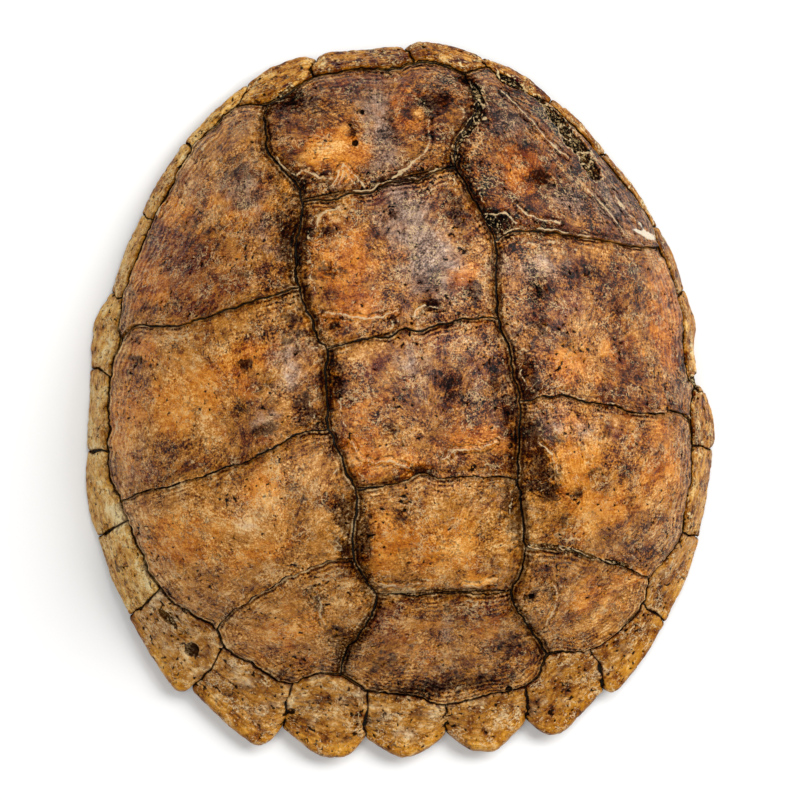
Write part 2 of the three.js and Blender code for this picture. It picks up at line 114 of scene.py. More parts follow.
# Each one's points on its inner edge
RING = dict(zip(RING_NAMES, [
    [(24, 140.5), (11, 139), (-0.5, 141), (-9.5, 140)], [(-19, 139.5), (-31, 134.5), (-39.5, 131)],
    [(-51, 131.5), (-61, 126)], [(-72.5, 116), (-82, 104)], [(-92.5, 89), (-100, 76)],
    [(-109, 58), (-111.5, 49), (-112, 41.5), (-115.5, 33)], [(-118, 26.5), (-121, 9)],
    [(-123.5, -4.5), (-123.5, -16), (-120.5, -24.5)], [(-119, -33.5), (-113.5, -50.5)],
    [(-109.5, -63), (-99, -73.5), (-89, -82)], [(-86.5, -90), (-80, -95.5), (-70.5, -103)],
    [(-60, -109), (-53, -106.5), (-46, -106), (-40, -108), (-34.5, -113)],
    [(-29, -116.5), (-18.5, -119.5), (-8, -122.5)], [(3, -127.5), (21.5, -125)],
    [(36.5, -123.5), (43, -119.5), (47.5, -112.5), (56.5, -111.5)], [(66, -112.5), (81, -105)],
    [(91.5, -96.5), (93, -91.5), (94, -85), (103.5, -77)], [(110, -68.5), (111.5, -59), (116, -45)],
    [(118.5, -33), (119.5, -22), (121, -16.5)], [(123, -9.5), (121, -2.5), (121, 8), (123.5, 19.5)],
    [(123, 30), (120, 43.5), (117.5, 52)], [(118, 61), (114.5, 68.5), (105.5, 82.5)],
    [(98.5, 93), (87.5, 108)], [(79.5, 118), (75, 119.5), (66.5, 123), (58, 129.5)],
    [(54.5, 135), (43.5, 134), (38, 137), (31.5, 139.5)],
]))
# The two long seams beside the vertebral scutes, cut where a cross seam meets them
LONG_SEAM = {
    "left": [
        [(-39.5, 131), (-42, 122), (-43, 111.5), (-39, 101.5), (-34.5, 94.5)],
        [(-33, 87), (-37, 72.5), (-39.5, 60.5), (-40, 52), (-37.5, 40), (-35, 29.5)],
        [(-32.5, 25.5), (-34.5, 15), (-35, 3.5), (-36, -6), (-33, -15), (-31, -25)],
        [(-28, -31.5), (-30, -45.5), (-31, -59), (-27, -70)],
        [(-23.5, -76), (-26, -84), (-32, -92), (-37.5, -97.5)],
        [(-40, -108)],
    ],
    "right": [
        [(43.5, 134), (45, 125.5), (46, 118.5), (43, 112.5), (34, 104.5), (31.5, 98.5)],
        [(31, 93), (34.5, 80.5), (38, 69.5), (41.5, 61), (39.5, 48), (38.5, 36)],
        [(37.5, 29), (40, 18), (41, 5.5), (42, -4.5), (39.5, -20.5)],
        [(37.5, -35.5), (38, -50.5), (38.5, -64), (37, -73)],
        [(32.5, -81.5), (34, -90.5), (40, -100.5)],
        [(47.5, -112.5)],
    ],
}
# The cross seams, without their ends on the long seams
VERTEBRAL_SEAMS = [
    [(-19.5, 86), (-15.5, 87), (-6, 86), (-0.5, 89), (15, 89), (24, 92)],
    [(-25, 27), (-7, 27.5), (-1.5, 30), (5.5, 28.5), (22, 30.5)],
    [(-18.5, -31), (-8.5, -30.5), (-2, -28.5), (6, -31), (24, -32.5)],
    [(-14, -77), (2, -78), (16.5, -80.5)],
]
# The seams between costal scutes, from the long seam out to the ring
COSTAL_SEAMS = {
    "left": [
        [(-40, 52), (-54.5, 49.5), (-69.5, 46.5), (-83.5, 44), (-95.5, 44), (-105, 46), (-112, 41.5)],
        [(-36, -6), (-48, -6), (-62.5, -12), (-82, -17), (-100, -20.5), (-112, -22.5), (-120.5, -24.5)],
        [(-31, -59), (-45, -59.5), (-53, -61.5), (-68.5, -68), (-81.5, -75), (-89, -82)],
    ],
    "right": [
        [(41.5, 61), (47, 63), (54.5, 63.5), (69.5, 60.5), (82.5, 57.5), (96, 54), (106, 52), (117.5, 52)],
        [
            (42, -4.5), (52.5, -4.5), (59.5, -4.5), (69, -8), (84, -12.5), (98, -17),
            (110.5, -17.5), (119.5, -22),
        ],
        [(38.5, -64), (55.5, -67.5), (71, -74), (83.5, -79), (94, -85)],
    ],
}

# ---- mesh fineness, mm ----------------------------------------------------------------------------
COARSEN = 1.0
LINE_STEP = 0.5 * COARSEN  # along the seams
FACE_STEP = 0.54 * COARSEN  # over a scute's face
EDGE_STEP = 0.3 * COARSEN  # across a scute's edge
BONE_STEP = 1.9 * COARSEN


class Edge(Enum):
    """The sides of a scute inside the ring."""

    FRONT = "front"
    REAR = "rear"
    LONG = "long"
    OUTER = "outer"


class Stain(Enum):
    """What discolours the horn of the back; the grey-violet patches are mostly a painted reflection of the
    overhead light.
    """

    ORANGE = "orange"
    RED = "red"
    DARK = "dark"
    # Grey-violet: mostly a painted reflection of the overhead light on the glossy horn
    GREY = "grey"
    PALE = "pale"
    BONE = "bone"


# ---- noise and lines ------------------------------------------------------------------------------
def table_of_slopes(count: int = 1024, seed: int = 5) -> Array:
    """Makes the unit vectors that the lattice noise picks from.

    Args:
        count: How many, a power of two.
        seed: Seed of the draw.

    Returns:
        Unit vectors, one in a row.
    """
    drawn = np.random.default_rng(seed).normal(size=(count, 3))
    return drawn / np.linalg.norm(drawn, axis=1, keepdims=True)


SLOPES = table_of_slopes()


def rise(value: Array, low: float, high: float) -> Array:
    """Rises smoothly from 0 at low to 1 at high.

    Args:
        value: Where to read the rise.
        low: Where it starts.
        high: Where it ends.

    Returns:
        The risen share, 0 to 1.
    """
    part = np.clip((value - low) / (high - low), 0.0, 1.0)
    return part * part * (3.0 - 2.0 * part)


def fade(far: Array, reach: float) -> Array:
    """Fades with the distance from a line, from 1 at the line."""
    return np.exp(-far / reach)


def ridge(far: Array, width: Array | float, at: Array | float = 0.0) -> Array:
    """Stands up to 1 at some distance from a line and falls off over a width to both sides."""
    return np.exp(-(((far - at) / width) ** 2))


def rings(far: Array, spacing: float, shift: Array | float = 0.0) -> Array:
    """Waves from -1 to 1 along a distance, a spacing apart."""
    return np.sin(far * TURN / spacing + shift)


def lattice_noise(places: Array, cell: float, seed: int) -> Array:
    """Smooth noise with one bump in about each cell.

    Args:
        places: Points in mm, three to a row.
        cell: Size of a cell, mm.
        seed: Picks one of many such noises.

    Returns:
        Values from about -1 to 1.
    """
    scaled = places / cell + np.array([0.37, 0.71, 0.13]) * (seed + 1)
    base = np.floor(scaled).astype(np.int64)
    part = scaled - base
    ease = part**3 * (part * (part * 6 - 15) + 10)
    total = np.zeros(len(places))
    for corner in itertools.product((0, 1), repeat=3):
        x, y, z = (base + corner).T
        key = (x * 73856093) ^ (y * 19349663) ^ (z * 83492791) ^ (seed * 2971215073)
        picked = SLOPES[((key * 2654435761) >> 20) & (len(SLOPES) - 1)]
        weight = np.prod(np.where(corner, ease, 1 - ease), axis=1)
        total += weight * np.einsum("ij,ij->i", picked, part - corner)
    return total * 1.7


def fractal_noise(places: Array, cell: float, seed: int, octaves: int = 4) -> Array:
    """Lattice noise with finer and weaker noise on it.

    Args:
        places: Points in mm, three to a row.
        cell: Size of the largest cell, mm.
        seed: Picks one of many such noises.
        octaves: How many noises, each half as large as the last.

    Returns:
        Values from about -1 to 1.
    """
    layers = (lattice_noise(places, cell / 2**k, seed + 7 * k) * 0.55**k for k in range(octaves))
    return sum(layers) / sum(0.55**k for k in range(octaves))


@dataclass(frozen=True)
class Bumps:
    """One size of unevenness: its height and its cell in mm, its seed and its octaves."""

    height: float
    cell: float
    seed: int
    octaves: int

    def over(self, places: Array) -> Array:
        """Heights at some places, mm."""
        return self.height * fractal_noise(places, self.cell, self.seed, self.octaves)


@dataclass(frozen=True)
class Sink:
    """How a face sinks towards a seam: steeply near it and gently farther off, all in mm."""

    steep: float
    steep_reach: float
    gentle: float
    gentle_reach: float

    def depth(self, far: Array) -> Array:
        """How deep the face lies at some distances from the seam, mm."""
        return self.steep * fade(far, self.steep_reach) + self.gentle * fade(far, self.gentle_reach)


def flat(plan: Array) -> Array:
    """Points in plan as points in space, at height 0."""
    return np.column_stack([plan, np.zeros(len(plan))])


def wander(plan: Array) -> Array:
    """Moves points of a seam sideways the same way for all scutes that meet there.

    Args:
        plan: Points in plan, mm.

    Returns:
        The moved points.
    """
    places = flat(plan)
    shift = [
        0.9 * lattice_noise(places, 8.0, seed)
        + 0.55 * lattice_noise(places, 3.1, seed + 2)
        + 0.28 * lattice_noise(places, 1.3, seed + 4)
        for seed in (11, 12)
    ]
    return plan + np.column_stack(shift)


def spaced(line: Array, shares: Array) -> Array:
    """Points of a line at given shares of its length.

    Args:
        line: The line's points.
        shares: Shares of its length, 0 to 1.

    Returns:
        One point for each share.
    """
    run = np.concatenate([[0.0], np.cumsum(np.linalg.norm(np.diff(line, axis=0), axis=1))])
    run /= run[-1]
    return np.column_stack([np.interp(shares, run, line[:, axis]) for axis in range(line.shape[1])])


def length_of(line: Array) -> float:
    """Length of a line of points."""
    return float(np.linalg.norm(np.diff(line, axis=0), axis=1).sum())


@dataclass
class Seam:
    """A smooth line through chosen corners, which can be cut at any of them."""

    corners: list[Point]
    closed: bool = False
    wanders: bool = True
    line: Array = field(init=False)
    marks: list[int] = field(init=False)

    def __post_init__(self) -> None:
        """Draws the line, with a tangent at each corner along its two neighbours."""
        points = np.asarray(self.corners, float)
        if self.closed:
            padded = np.vstack([points[-1:], points, points[:2]])
        else:
            padded = np.vstack([points[:1], points, points[-1:]])
        spans = len(padded) - 3
        pieces, self.marks = [], [0]
        for i in range(spans):
            before, start, end, after = padded[i : i + 4]
            reach = np.linalg.norm(end - start)
            leave = (end - before) / np.linalg.norm(end - before) * reach
            arrive = (after - start) / np.linalg.norm(after - start) * reach
            count = max(1, round(reach / LINE_STEP))
            t = np.arange(count)[:, None] / count
            pieces.append(
                (2 * t**3 - 3 * t**2 + 1) * start
                + (t**3 - 2 * t**2 + t) * leave
                + (3 * t**2 - 2 * t**3) * end
                + (t**3 - t**2) * arrive
            )
            self.marks.append(self.marks[-1] + count)
        pieces.append(padded[spans + 1 : spans + 2])
        line = np.vstack(pieces)
        self.line = wander(line) if self.wanders else line

    def part(self, start: Point, end: Point) -> Array:
        """Cuts the line between two corners.

        Args:
            start: Corner where the part starts.
            end: Corner where it ends. On a closed line the part runs counter-clockwise.

        Returns:
            The points of the part, both ends included.
        """
        first, last = (self.marks[self.corners.index(corner)] for corner in (start, end))
        if self.closed and last <= first:
            return np.vstack([self.line[first:-1], self.line[: last + 1]])
        if last < first:
            return self.line[last : first + 1][::-1]
        return self.line[first : last + 1]


class SeamNet:
    """All the seams of the shell, shared by the scutes that meet at them."""

    def __init__(self) -> None:
        """Draws the seams."""
        self.ring = Seam([p for line in RING.values() for p in line], closed=True)
        self.long = {side: Seam([p for row in rows for p in row]) for side, rows in LONG_SEAM.items()}
        self.cross = [
            Seam([LONG_SEAM["left"][i + 1][0], *points, LONG_SEAM["right"][i + 1][0]])
            for i, points in enumerate(VERTEBRAL_SEAMS)
        ]
        self.costal = {side: [Seam(points) for points in seams] for side, seams in COSTAL_SEAMS.items()}

    def vertebral(self, i: int) -> list[tuple[Edge, Array]]:
        """Outline of a vertebral scute, counter-clockwise, as its sides.

        Args:
            i: Which one, 0 at the front.

        Returns:
            Each side's kind and points.
        """
        left, right = ([LONG_SEAM[side][k][0] for k in (i, i + 1)] for side in ("left", "right"))
        front = self.ring.part(right[0], left[0]) if i == 0 else self.cross[i - 1].line[::-1]
        rear = self.ring.part(left[1], right[1]) if i == len(self.cross) else self.cross[i].line
        return [
            (Edge.FRONT, front),
            (Edge.LONG, self.long["left"].part(*left)),
            (Edge.REAR if i < len(self.cross) else Edge.OUTER, rear),
            (Edge.LONG, self.long["right"].part(*reversed(right))),
        ]

    def costal_scute(self, side: str, i: int) -> list[tuple[Edge, Array]]:
        """Outline of a costal scute, counter-clockwise, as its sides.

        Args:
            side: "left" or "right".
            i: Which one, 0 at the front.

        Returns:
            Each side's kind and points.
        """
        seams, long = self.costal[side], self.long[side]
        ends = [(long.corners[0],) * 2, (long.corners[-1],) * 2]
        ends[1:1] = [(seam.corners[0], seam.corners[-1]) for seam in seams]
        (inner_front, outer_front), (inner_rear, outer_rear) = ends[i], ends[i + 1]
        sides = [(Edge.FRONT, seams[i - 1].line)] if i > 0 else []
        if side == "left":
            sides.append((Edge.OUTER, self.ring.part(outer_front, outer_rear)))
            sides += [(Edge.REAR, seams[i].line[::-1])] if i < len(seams) else []
            sides.append((Edge.LONG, long.part(inner_rear, inner_front)))
            return sides
        sides = [(Edge.REAR, seams[i].line)] if i < len(seams) else []
        sides.append((Edge.OUTER, self.ring.part(outer_rear, outer_front)))
        sides += [(Edge.FRONT, seams[i - 1].line[::-1])] if i > 0 else []
        sides.append((Edge.LONG, long.part(inner_front, inner_rear)))
        return sides


# ---- the dome's surface ---------------------------------------------------------------------------
@dataclass(frozen=True)
class Profile:
    """The four numbers of the dome's profile in one direction."""

    height: float
    slope: float
    crown: float
    run: float


class Dome:
    """The shell's outer surface, as a place along its profile in each direction."""

    flank = Profile(1.5, 72.0, 0.62, 38.0)
    front = Profile(10.0, 58.0, 0.60, 36.0)
    rear = Profile(9.0, 16.0, 0.55, 44.0)

    def __init__(self) -> None:
        """Reads the rim's outline, toothed and evened out."""
        plain = np.array([p for line in RIM.values() for p in line], float)
        self.plain = self.polar(plain)
        self.rims = {
            name: Seam([*RIM[name], RIM[follower][0]], wanders=False).line
            for name, follower in FOLLOWERS.items()
        }
        self.toothed = self.polar(np.vstack([line[:-1] for line in self.rims.values()]))
        self.directions = np.linspace(-math.pi, math.pi, DIRECTIONS)
        offsets = np.linspace(-1, 1, 25)
        weights = np.cos(offsets * 12 / 13 * math.pi / 2) ** 2
        around = self.directions[:, None] + offsets * BODY_REACH
        self.body = self.read(self.plain, around.ravel()).reshape(around.shape) @ weights / weights.sum()

    @staticmethod
    def polar(points: Array) -> tuple[Array, Array]:
        """Sorts points by their direction.

        Args:
            points: Points in plan, mm.

        Returns:
            Directions and radii.
        """
        angles = np.arctan2(points[:, 1], points[:, 0])
        order = np.argsort(angles)
        return angles[order], np.hypot(points[:, 0], points[:, 1])[order]

    @staticmethod
    def read(line: tuple[Array, Array], angle: Array) -> Array:
        """Radius of a polar line in some directions."""
        return np.interp(angle, line[0], line[1], period=TURN)

    def profile(self, angle: Array) -> tuple[Array, Array, Array, Array, Array]:
        """Profile in some directions.

        Args:
            angle: Directions, radians.

        Returns:
            Rim height, slope in radians, crown, run, and how far the bridge reaches in, each 0 to 1.
        """
        ahead = np.sin(angle)
        front, rear = rise(ahead, 0.3, 0.95), rise(-ahead, 0.3, 0.95)
        lift = rise(-ahead, 0.2, 0.6)

        def mixed(key: str, tail: Array) -> Array:
            """One number of the profile, between the flank's, the front's and the rear's."""
            side, head, end = (getattr(part, key) for part in (self.flank, self.front, self.rear))
            return side + (head - side) * front + (end - side) * tail

        bridge = 1 - rise(ahead, 0.44, 0.66) - rise(-ahead, 0.28, 0.5)
        slope = np.radians(mixed("slope", rear))
        return mixed("height", lift), slope, mixed("crown", rear), mixed("run", rear), bridge

    def curve(self, t: Array, angle: Array) -> tuple[Array, Array, Array, Array]:
        """A place on the profile and the way that it runs there.

        Args:
            t: Share of the profile, 0 at the top and 1 at the rim.
            angle: Directions, radians.

        Returns:
            Radius, height, and the two parts of the unit tangent.
        """
        height, slope, crown, run, _ = self.profile(angle)
        body = np.interp(angle, self.directions, self.body, period=TURN)
        radii = [0 * body, crown * body, body - run * np.cos(slope), body]
        heights = [DOME_HEIGHT + 0 * body, DOME_HEIGHT + 0 * body, height + run * np.sin(slope), height]
        s = 1 - t
        weights = (s**3, 3 * s * s * t, 3 * s * t * t, t**3)
        slopes = (3 * s * s, 6 * s * t, 3 * t * t)
        r, z = (sum(w * p for w, p in zip(weights, line)) for line in (radii, heights))
        dr, dz = (
            sum(w * (line[k + 1] - line[k]) for k, w in enumerate(slopes)) for line in (radii, heights)
        )
        size = np.hypot(dr, dz)
        return r, z, dr / size, dz / size

    def spot(
        self, t: Array, angle: Array, turn: Array | float, core: Array | float, radius: Array | float
    ) -> Array:
        """Places on the shell.

        Args:
            t: Share of the profile, 0 at the top and 1 at the rim.
            angle: Directions, radians.
            turn: 0 on the upper side, over the rim's round edge to 180 degrees on the underside.
            core: Depth of the line that the edge is round about, mm.
            radius: Radius of the edge about that line, mm.

        Returns:
            Points in mm, three to a row.
        """
        t, angle = np.asarray(t, float), np.asarray(angle, float)
        r, z, run_r, run_z = self.curve(t, angle)
        _, slope, _, _, bridge = self.profile(angle)
        body = np.interp(angle, self.directions, self.body, period=TURN)
        bulge = EDGE / 2 * (1 - np.sin(slope)) * (1 - bridge)
        tooth = np.clip((t - TOOTH_START) / (1 - TOOTH_START), 0, None)
        stretch = (self.read(self.toothed, angle) - body - bulge) * tooth
        bend = np.radians(turn)
        out, onward = radius * np.cos(bend) - core, radius * np.sin(bend)
        plan = r + stretch - run_z * out + run_r * onward
        height = np.maximum(0.0, z + run_r * out + run_z * onward)
        return np.column_stack([plan * np.cos(angle), plan * np.sin(angle), height])

    def place_over(self, plan: Array) -> tuple[Array, Array]:
        """The place on the upper side that lies over each point in plan.

        Args:
            plan: Points in plan, mm.

        Returns:
            Share of the profile and direction.
        """
        angle, target = np.arctan2(plan[:, 1], plan[:, 0]), np.hypot(plan[:, 0], plan[:, 1])
        low, high = np.zeros(len(plan)), np.ones(len(plan))
        for _ in range(22):
            middle = (low + high) / 2
            short = self.curve(middle, angle)[0] < target
            low, high = np.where(short, middle, low), np.where(short, high, middle)
        return (low + high) / 2, angle


# ---- stains, breaks and flakes --------------------------------------------------------------------
@dataclass(frozen=True)
class Patch:
    """A soft oval in plan: its middle and half-axes in mm, its strength, and its turn in degrees."""

    x: float
    y: float
    wide: float
    deep: float
    strength: float = 1.0
    turn: float = 0.0

    def distance(self, plan: Array) -> Array:
        """Distance from the middle, 1 at the oval's line.

        Args:
            plan: Points in plan, mm.

        Returns:
            Distances, as shares of the half-axes.
        """
        cos, sin = math.cos(math.radians(self.turn)), math.sin(math.radians(self.turn))
        dx, dy = plan[:, 0] - self.x, plan[:, 1] - self.y
        return np.hypot((dx * cos + dy * sin) / self.wide, (dy * cos - dx * sin) / self.deep)

    def weight(self, plan: Array) -> Array:
        """Strength at points in plan, soft towards the oval's line."""
        return self.strength * ridge(self.distance(plan), 1.0)


def patches(*rows: tuple[float, ...]) -> list[Patch]:
    """Patches from their numbers, in the order of a patch's fields."""
    return [Patch(*row) for row in rows]


STAINS = {
    Stain.ORANGE: patches(
        (-11, -75.5, 9, 1.8, 1.6), (20, -75.5, 7, 2, 1.6), (-14.5, 94.2, 3, 2.8, 2.4),
        (-52, 110, 5, 9, 0.5, 20), (-19, 107, 11, 8, 1.6), (-10, 103, 8, 6), (12, 124, 10, 5),
        (16, 112, 8, 6, 0.7), (-19, 57, 11, 16, 1.2), (-18, 38, 14, 5, 1.2), (25, 48, 8, 7),
        (-24, -10, 6, 10), (-15, -22, 14, 6, 1.2), (20, -18, 14, 7, 1.1), (6, -60, 16, 12, 1.2),
        (-18, -54, 9, 12, 0.8), (-10, -98, 12, 8, 0.6), (22, -96, 10, 8, 0.6),
        (-97, 63, 9, 12, 1.2, 20), (-84, 92, 7, 12, 1, 30), (-62, 82, 10, 14, 0.6, 20),
        (-92, 12, 18, 13, 1.2), (-116, 4, 5, 20, 1.3), (-72, 22, 12, 8, 0.9), (-56, 26, 8, 6, 0.8),
        (-103, 36, 7, 5, 1, -20), (-97, -42, 16, 12, 1.2, 20), (-64, -26, 12, 7, 0.9, 15),
        (-70, -52, 14, 8, 0.7, 20), (-60, -86, 16, 9, 0.9, 20), (58, 88, 9, 10, 1.3),
        (68, 84, 10, 4, 0.8, -20), (112, 20, 8, 24, 1.1, -8), (84, 10, 14, 12, 0.6), (62, 6, 9, 8),
        (62, -32, 12, 18, 0.9), (72, -54, 16, 8, 1.1, 20), (100, -40, 12, 18, 0.8),
        (68, -92, 16, 9, 0.9), (86, -84, 8, 5, 0.8),
    ),
    Stain.RED: patches(
        (-84, 72, 12, 26, 1.2, 30), (-70, 58, 20, 8, 1, 15), (-74, 98, 8, 12, 0.8, 30),
        (-108, -14, 8, 5, 0.9), (-62, -6, 16, 5, 0.7, 15), (-30, 108, 6, 10, 0.7),
        (98, 84, 4, 12, 0.6, 30), (104, 68, 3, 7, 1, 30), (-2, 82, 18, 4, 0.6), (10, 24, 16, 4, 0.9),
        (-14, 12, 8, 12, 0.5), (-22, -90, 10, 10, 0.6), (26, -88, 10, 8, 0.6), (10, -72, 18, 4, 0.7),
        (70, 30, 14, 8, 0.4), (80, -22, 18, 5, 0.5, -15), (0, 134, 30, 4, 0.8),
    ),
    Stain.DARK: patches(
        (-26, 128, 14, 6, 1.1, -15), (28, 122, 10, 6, 1.3), (31, 95, 8, 4), (-36, 70, 4, 12),
        (-25, 72, 4, 3, 1.2), (-26, 56, 4, 3.5, 1.3), (-28, 34, 3, 2, 1.4), (11, 38, 4, 4, 1.3),
        (29, 40, 4, 6), (27, 72, 5, 10), (30, 57, 2.5, 4), (1, 76, 3, 2), (-4, 33, 3, 2),
        (15, 3, 7, 10, 0.9), (32, 2, 3.5, 6, 1.2), (-11, -9, 4, 3, 1.3), (-30, 14, 4, 10),
        (-2, -27, 4, 3, 1.2), (36, -10, 3, 10), (-27, -50, 4, 14, 1.2), (34, -48, 5, 16, 1.1),
        (2, -58, 3, 12, 0.6), (-12, -44, 4, 3), (0, -118, 34, 5, 1.2), (-22, -104, 8, 6, 0.8),
        (30, -104, 8, 6, 0.8), (4, -84, 3, 4, 0.7), (-75, 76, 9, 12, 0.7), (-58, 104, 8, 7, 0.7, 30),
        (-42, 72, 4, 20), (-60, 60, 10, 3, 0.8, 12), (-90, 52, 10, 3, 0.8), (-65, 24, 4, 3, 1.4),
        (-69, 6, 4, 3, 1.2), (-58, 14, 4, 3), (-61, -3, 7, 3, 1.4, 10), (-44, 4, 6, 9, 1.1),
        (-46, 34, 6, 10, 0.8), (-105, 31, 5, 2, 1.2, -30), (-35, -39, 4, 8, 1.3),
        (-35, -52, 3.5, 5, 1.4), (-50, -30, 6, 8, 0.6), (-104, -62, 6, 3, 0.7, 50),
        (-47, -74, 4, 8, 1, 20), (-40, -92, 6, 8, 0.9), (-66, -104, 10, 4, 0.9),
        (66, 84, 8, 5, 1.3, -15), (58, 98, 6, 8, 0.6), (56, 38, 5, 6, 1.2), (54, 24, 5, 6, 1.2),
        (47, 6, 4, 12), (80, 42, 8, 4, 0.8), (66, 16, 4, 5, 0.9), (90, 26, 5, 6, 0.8),
        (47, -30, 5, 10, 1.4), (50, -42, 5, 6, 1.4), (56, -22, 4, 4), (45, -18, 4, 8),
        (62, -46, 2.5, 2.5, 1.2), (68, -38, 2.5, 2.5, 1.1), (76, -22, 3, 3, 0.9), (56, -56, 5, 3),
        (40, -85, 2.4, 2.4, 1.2), (48, -84, 4, 8, 0.9, 20), (-2.7, 120, 1.6, 1.6, 1.5),
        (-8.4, 111, 1.8, 6, 1.3), (8, 116, 3, 8, 0.9), (-124, -52, 2.5, 6, 1.1, 18),
        (-119, -66, 3, 3, 0.9), (-131, -18, 2, 5, 0.8), (-128, 22, 2, 5, 0.8),
        (-107, -74, 6, 3, 1.5, -50), (-101, -82, 3, 2.4, 1.2), (-128, -36, 2, 3, 1.2),
        (-61, -124, 9, 6, 0.9, 10), (-30, -131, 9, 5, 0.8), (-86, -108, 5, 4, 0.8),
        (60, -126, 6, 5, 0.7), (84, -108, 6, 4, 0.7, 40), (-60, 128, 6, 3, 1, 30),
        (-33, 92, 2.4, 4, 1.2, 30), (-37.5, 46, 2.2, 5, 1.2, 5), (44, 68, 5, 3, 1.2),
    ),
    # Grey-violet patches: mostly a painted reflection of the overhead light on the glossy horn
    Stain.GREY: patches(
        (3, 114, 9, 23, 1.3), (6, 76, 13, 14, 1.1), (14, 54, 12, 16, 1.4), (2, 14, 10, 16, 0.8),
        (-56, 95, 9, 14, 1, 10), (-50, 70, 8, 12, 0.6), (76, 74, 14, 9, 1, -20), (58, 110, 12, 14, 0.9),
        (98, 70, 9, 15, 1, 30), (-48, 22, 8, 16), (-62, 0, 12, 6, 0.8), (-72, -34, 12, 8, 0.5),
        (60, 48, 16, 7), (58, -18, 16, 6, 0.8, -10), (26, 4, 9, 14, 0.5), (20, -44, 14, 6, 0.5),
        (4, -94, 6, 14, 0.7),
    ),
    Stain.PALE: patches(
        (-19, 106, 9, 6, 2.8), (19.9, 117.2, 1.9, 1.9, 2.2), (16, 100, 7, 7, 0.8),
        (26.8, 49.7, 4, 4, 1.2), (20, 60, 6, 10, 0.6), (-108.5, 36, 5, 2.5, 1.6, -25), (72, 14, 11, 9),
        (68, -30, 12, 8, 0.9), (-76, 110, 2.5, 13, 1.2, 32), (-84, 8, 12, 10, 0.6),
        (-76, -42, 14, 10, 0.6), (60, -52, 9, 6, 0.9), (112, 57, 6, 4, 1.6), (8, -60, 14, 6, 0.5),
        (8, 35.5, 7, 2.4, 1.3, 10), (-11, -75.5, 9, 1.5, 1.6), (20, -75.5, 7, 1.7, 1.6),
        (-14.5, 93.8, 2.4, 2, 2.4), (3.5, -58, 1.4, 16, 0.8, 2), (3, -100, 1.6, 15, 1, 2),
        (-8, -101, 1.6, 15, 0.8, -22), (14, -101, 1.6, 15, 0.8, 22), (-20, -100, 1.8, 11, 0.5, -38),
        (-62, -118, 9, 5, 0.8, 30), (-80, -102, 7, 5, 1, 40), (-28, -124, 8, 4, 0.6), (10, -124, 8, 5),
        (-115, -58, 4, 9, 1.5, 25), (-123, -32, 4, 11, 1.6, 12), (-129, 2, 3, 9, 1.2),
    ),
    Stain.BONE: patches(
        (112.5, 56.2, 4.6, 1.7, 1.4, -24), (107, 58.5, 3.6, 0.9, 1.1, -20), (109.5, 61, 1, 3, 0.9, 30),
    ),
}
# How pale each scute is as a whole, and how far its rear edge curls up, from the front to the rear
VERTEBRAL_LOOKS = ((-0.19, 1.0), (-0.11, 0.6), (-0.14, 0.5), (0.04, 0.3), (-0.05, 0.2))
COSTAL_LOOKS = {
    "left": ((-0.04, 0.6), (0.01, 0.4), (0.08, 0.4), (0.07, 0.3)),
    "right": ((-0.31, 1.0), (-0.15, 0.7), (-0.05, 0.7), (-0.02, 0.3)),
}
# Where each scute began to grow, as shares of its half-size away from its middle
VERTEBRAL_HUB = (0.0, -0.35)
REAR_HUB = (0.0, 0.45)
COSTAL_HUBS = {"left": (0.3, -0.3), "right": (-0.3, -0.3)}
# Seed of the first scute's ragged edges in each row
VERTEBRAL_SEED, COSTAL_SEED, RING_SEED = 60, 70, 80
# How pale each scute of the ring is, in the order of their names; the darker values of the right side are
# partly painted shade that cancels the key lamp's light there
RIM_TONES_WITH_PAINTED_SHADE = dict(zip(RING_NAMES, [
    -0.31,
    -0.21, 0.03, -0.08, 0.0, 0.08, 0.06, 0.06, 0.03, 0.11, 0.02, 0.04, 0.10,
    0.02, -0.05, -0.09, 0.05, -0.17, -0.31, -0.17, -0.27, -0.22, -0.25, -0.42, -0.33,
]))

# Where horn is broken out ragged; the strength is the depth in mm
BREAKS = patches(
    (81, 109, 3.2, 8, 1, 30), (86, 98, 4.2, 9, 1.1, 30), (90.5, 88, 4, 6.5, 1.1, 25),
    (76.5, 117, 1.6, 5, 1, 40), (47.3, 123, 1.5, 5.5, 1.35, 10), (45.4, 115.5, 1.8, 4.5, 1.35, -18),
    (40.5, 109, 1.8, 4.8, 1.35, -42), (34.5, 103.5, 1.5, 4, 1.3, -40), (31.4, 98, 1.3, 3.5, 1.3, -5),
    (-107.6, -75, 4.6, 1.7, 0.7, -50), (126.5, -7, 3, 4.2, 1.3), (64, 128, 1.8, 6, 0.6, 50),
    (48, -65.3, 7, 1.1, 0.45, -12), (62, -70, 8, 1.2, 0.45, -24), (79, -77, 6, 0.9, 0.4, -22),
    (42, 68.2, 1.7, 3, 0.5, 50), (-31.5, 133.6, 1.6, 4.6, 0.5, -62),
)
# Round holes with clean edges, and their depths
HOLES = patches(
    (-2.7, 120, 0.9, 0.9, 0.5), (-8.7, 115, 0.8, 0.8, 0.5), (-8.1, 107.1, 1.3, 1.3, 0.7),
    (40.4, -85.1, 1.3, 1.3, 0.7), (-99.2, -89.7, 3.1, 3.1, 1.35), (-61, -121.1, 1.4, 1.4, 0.9),
    (29.6, -124, 1.6, 1.6),
)
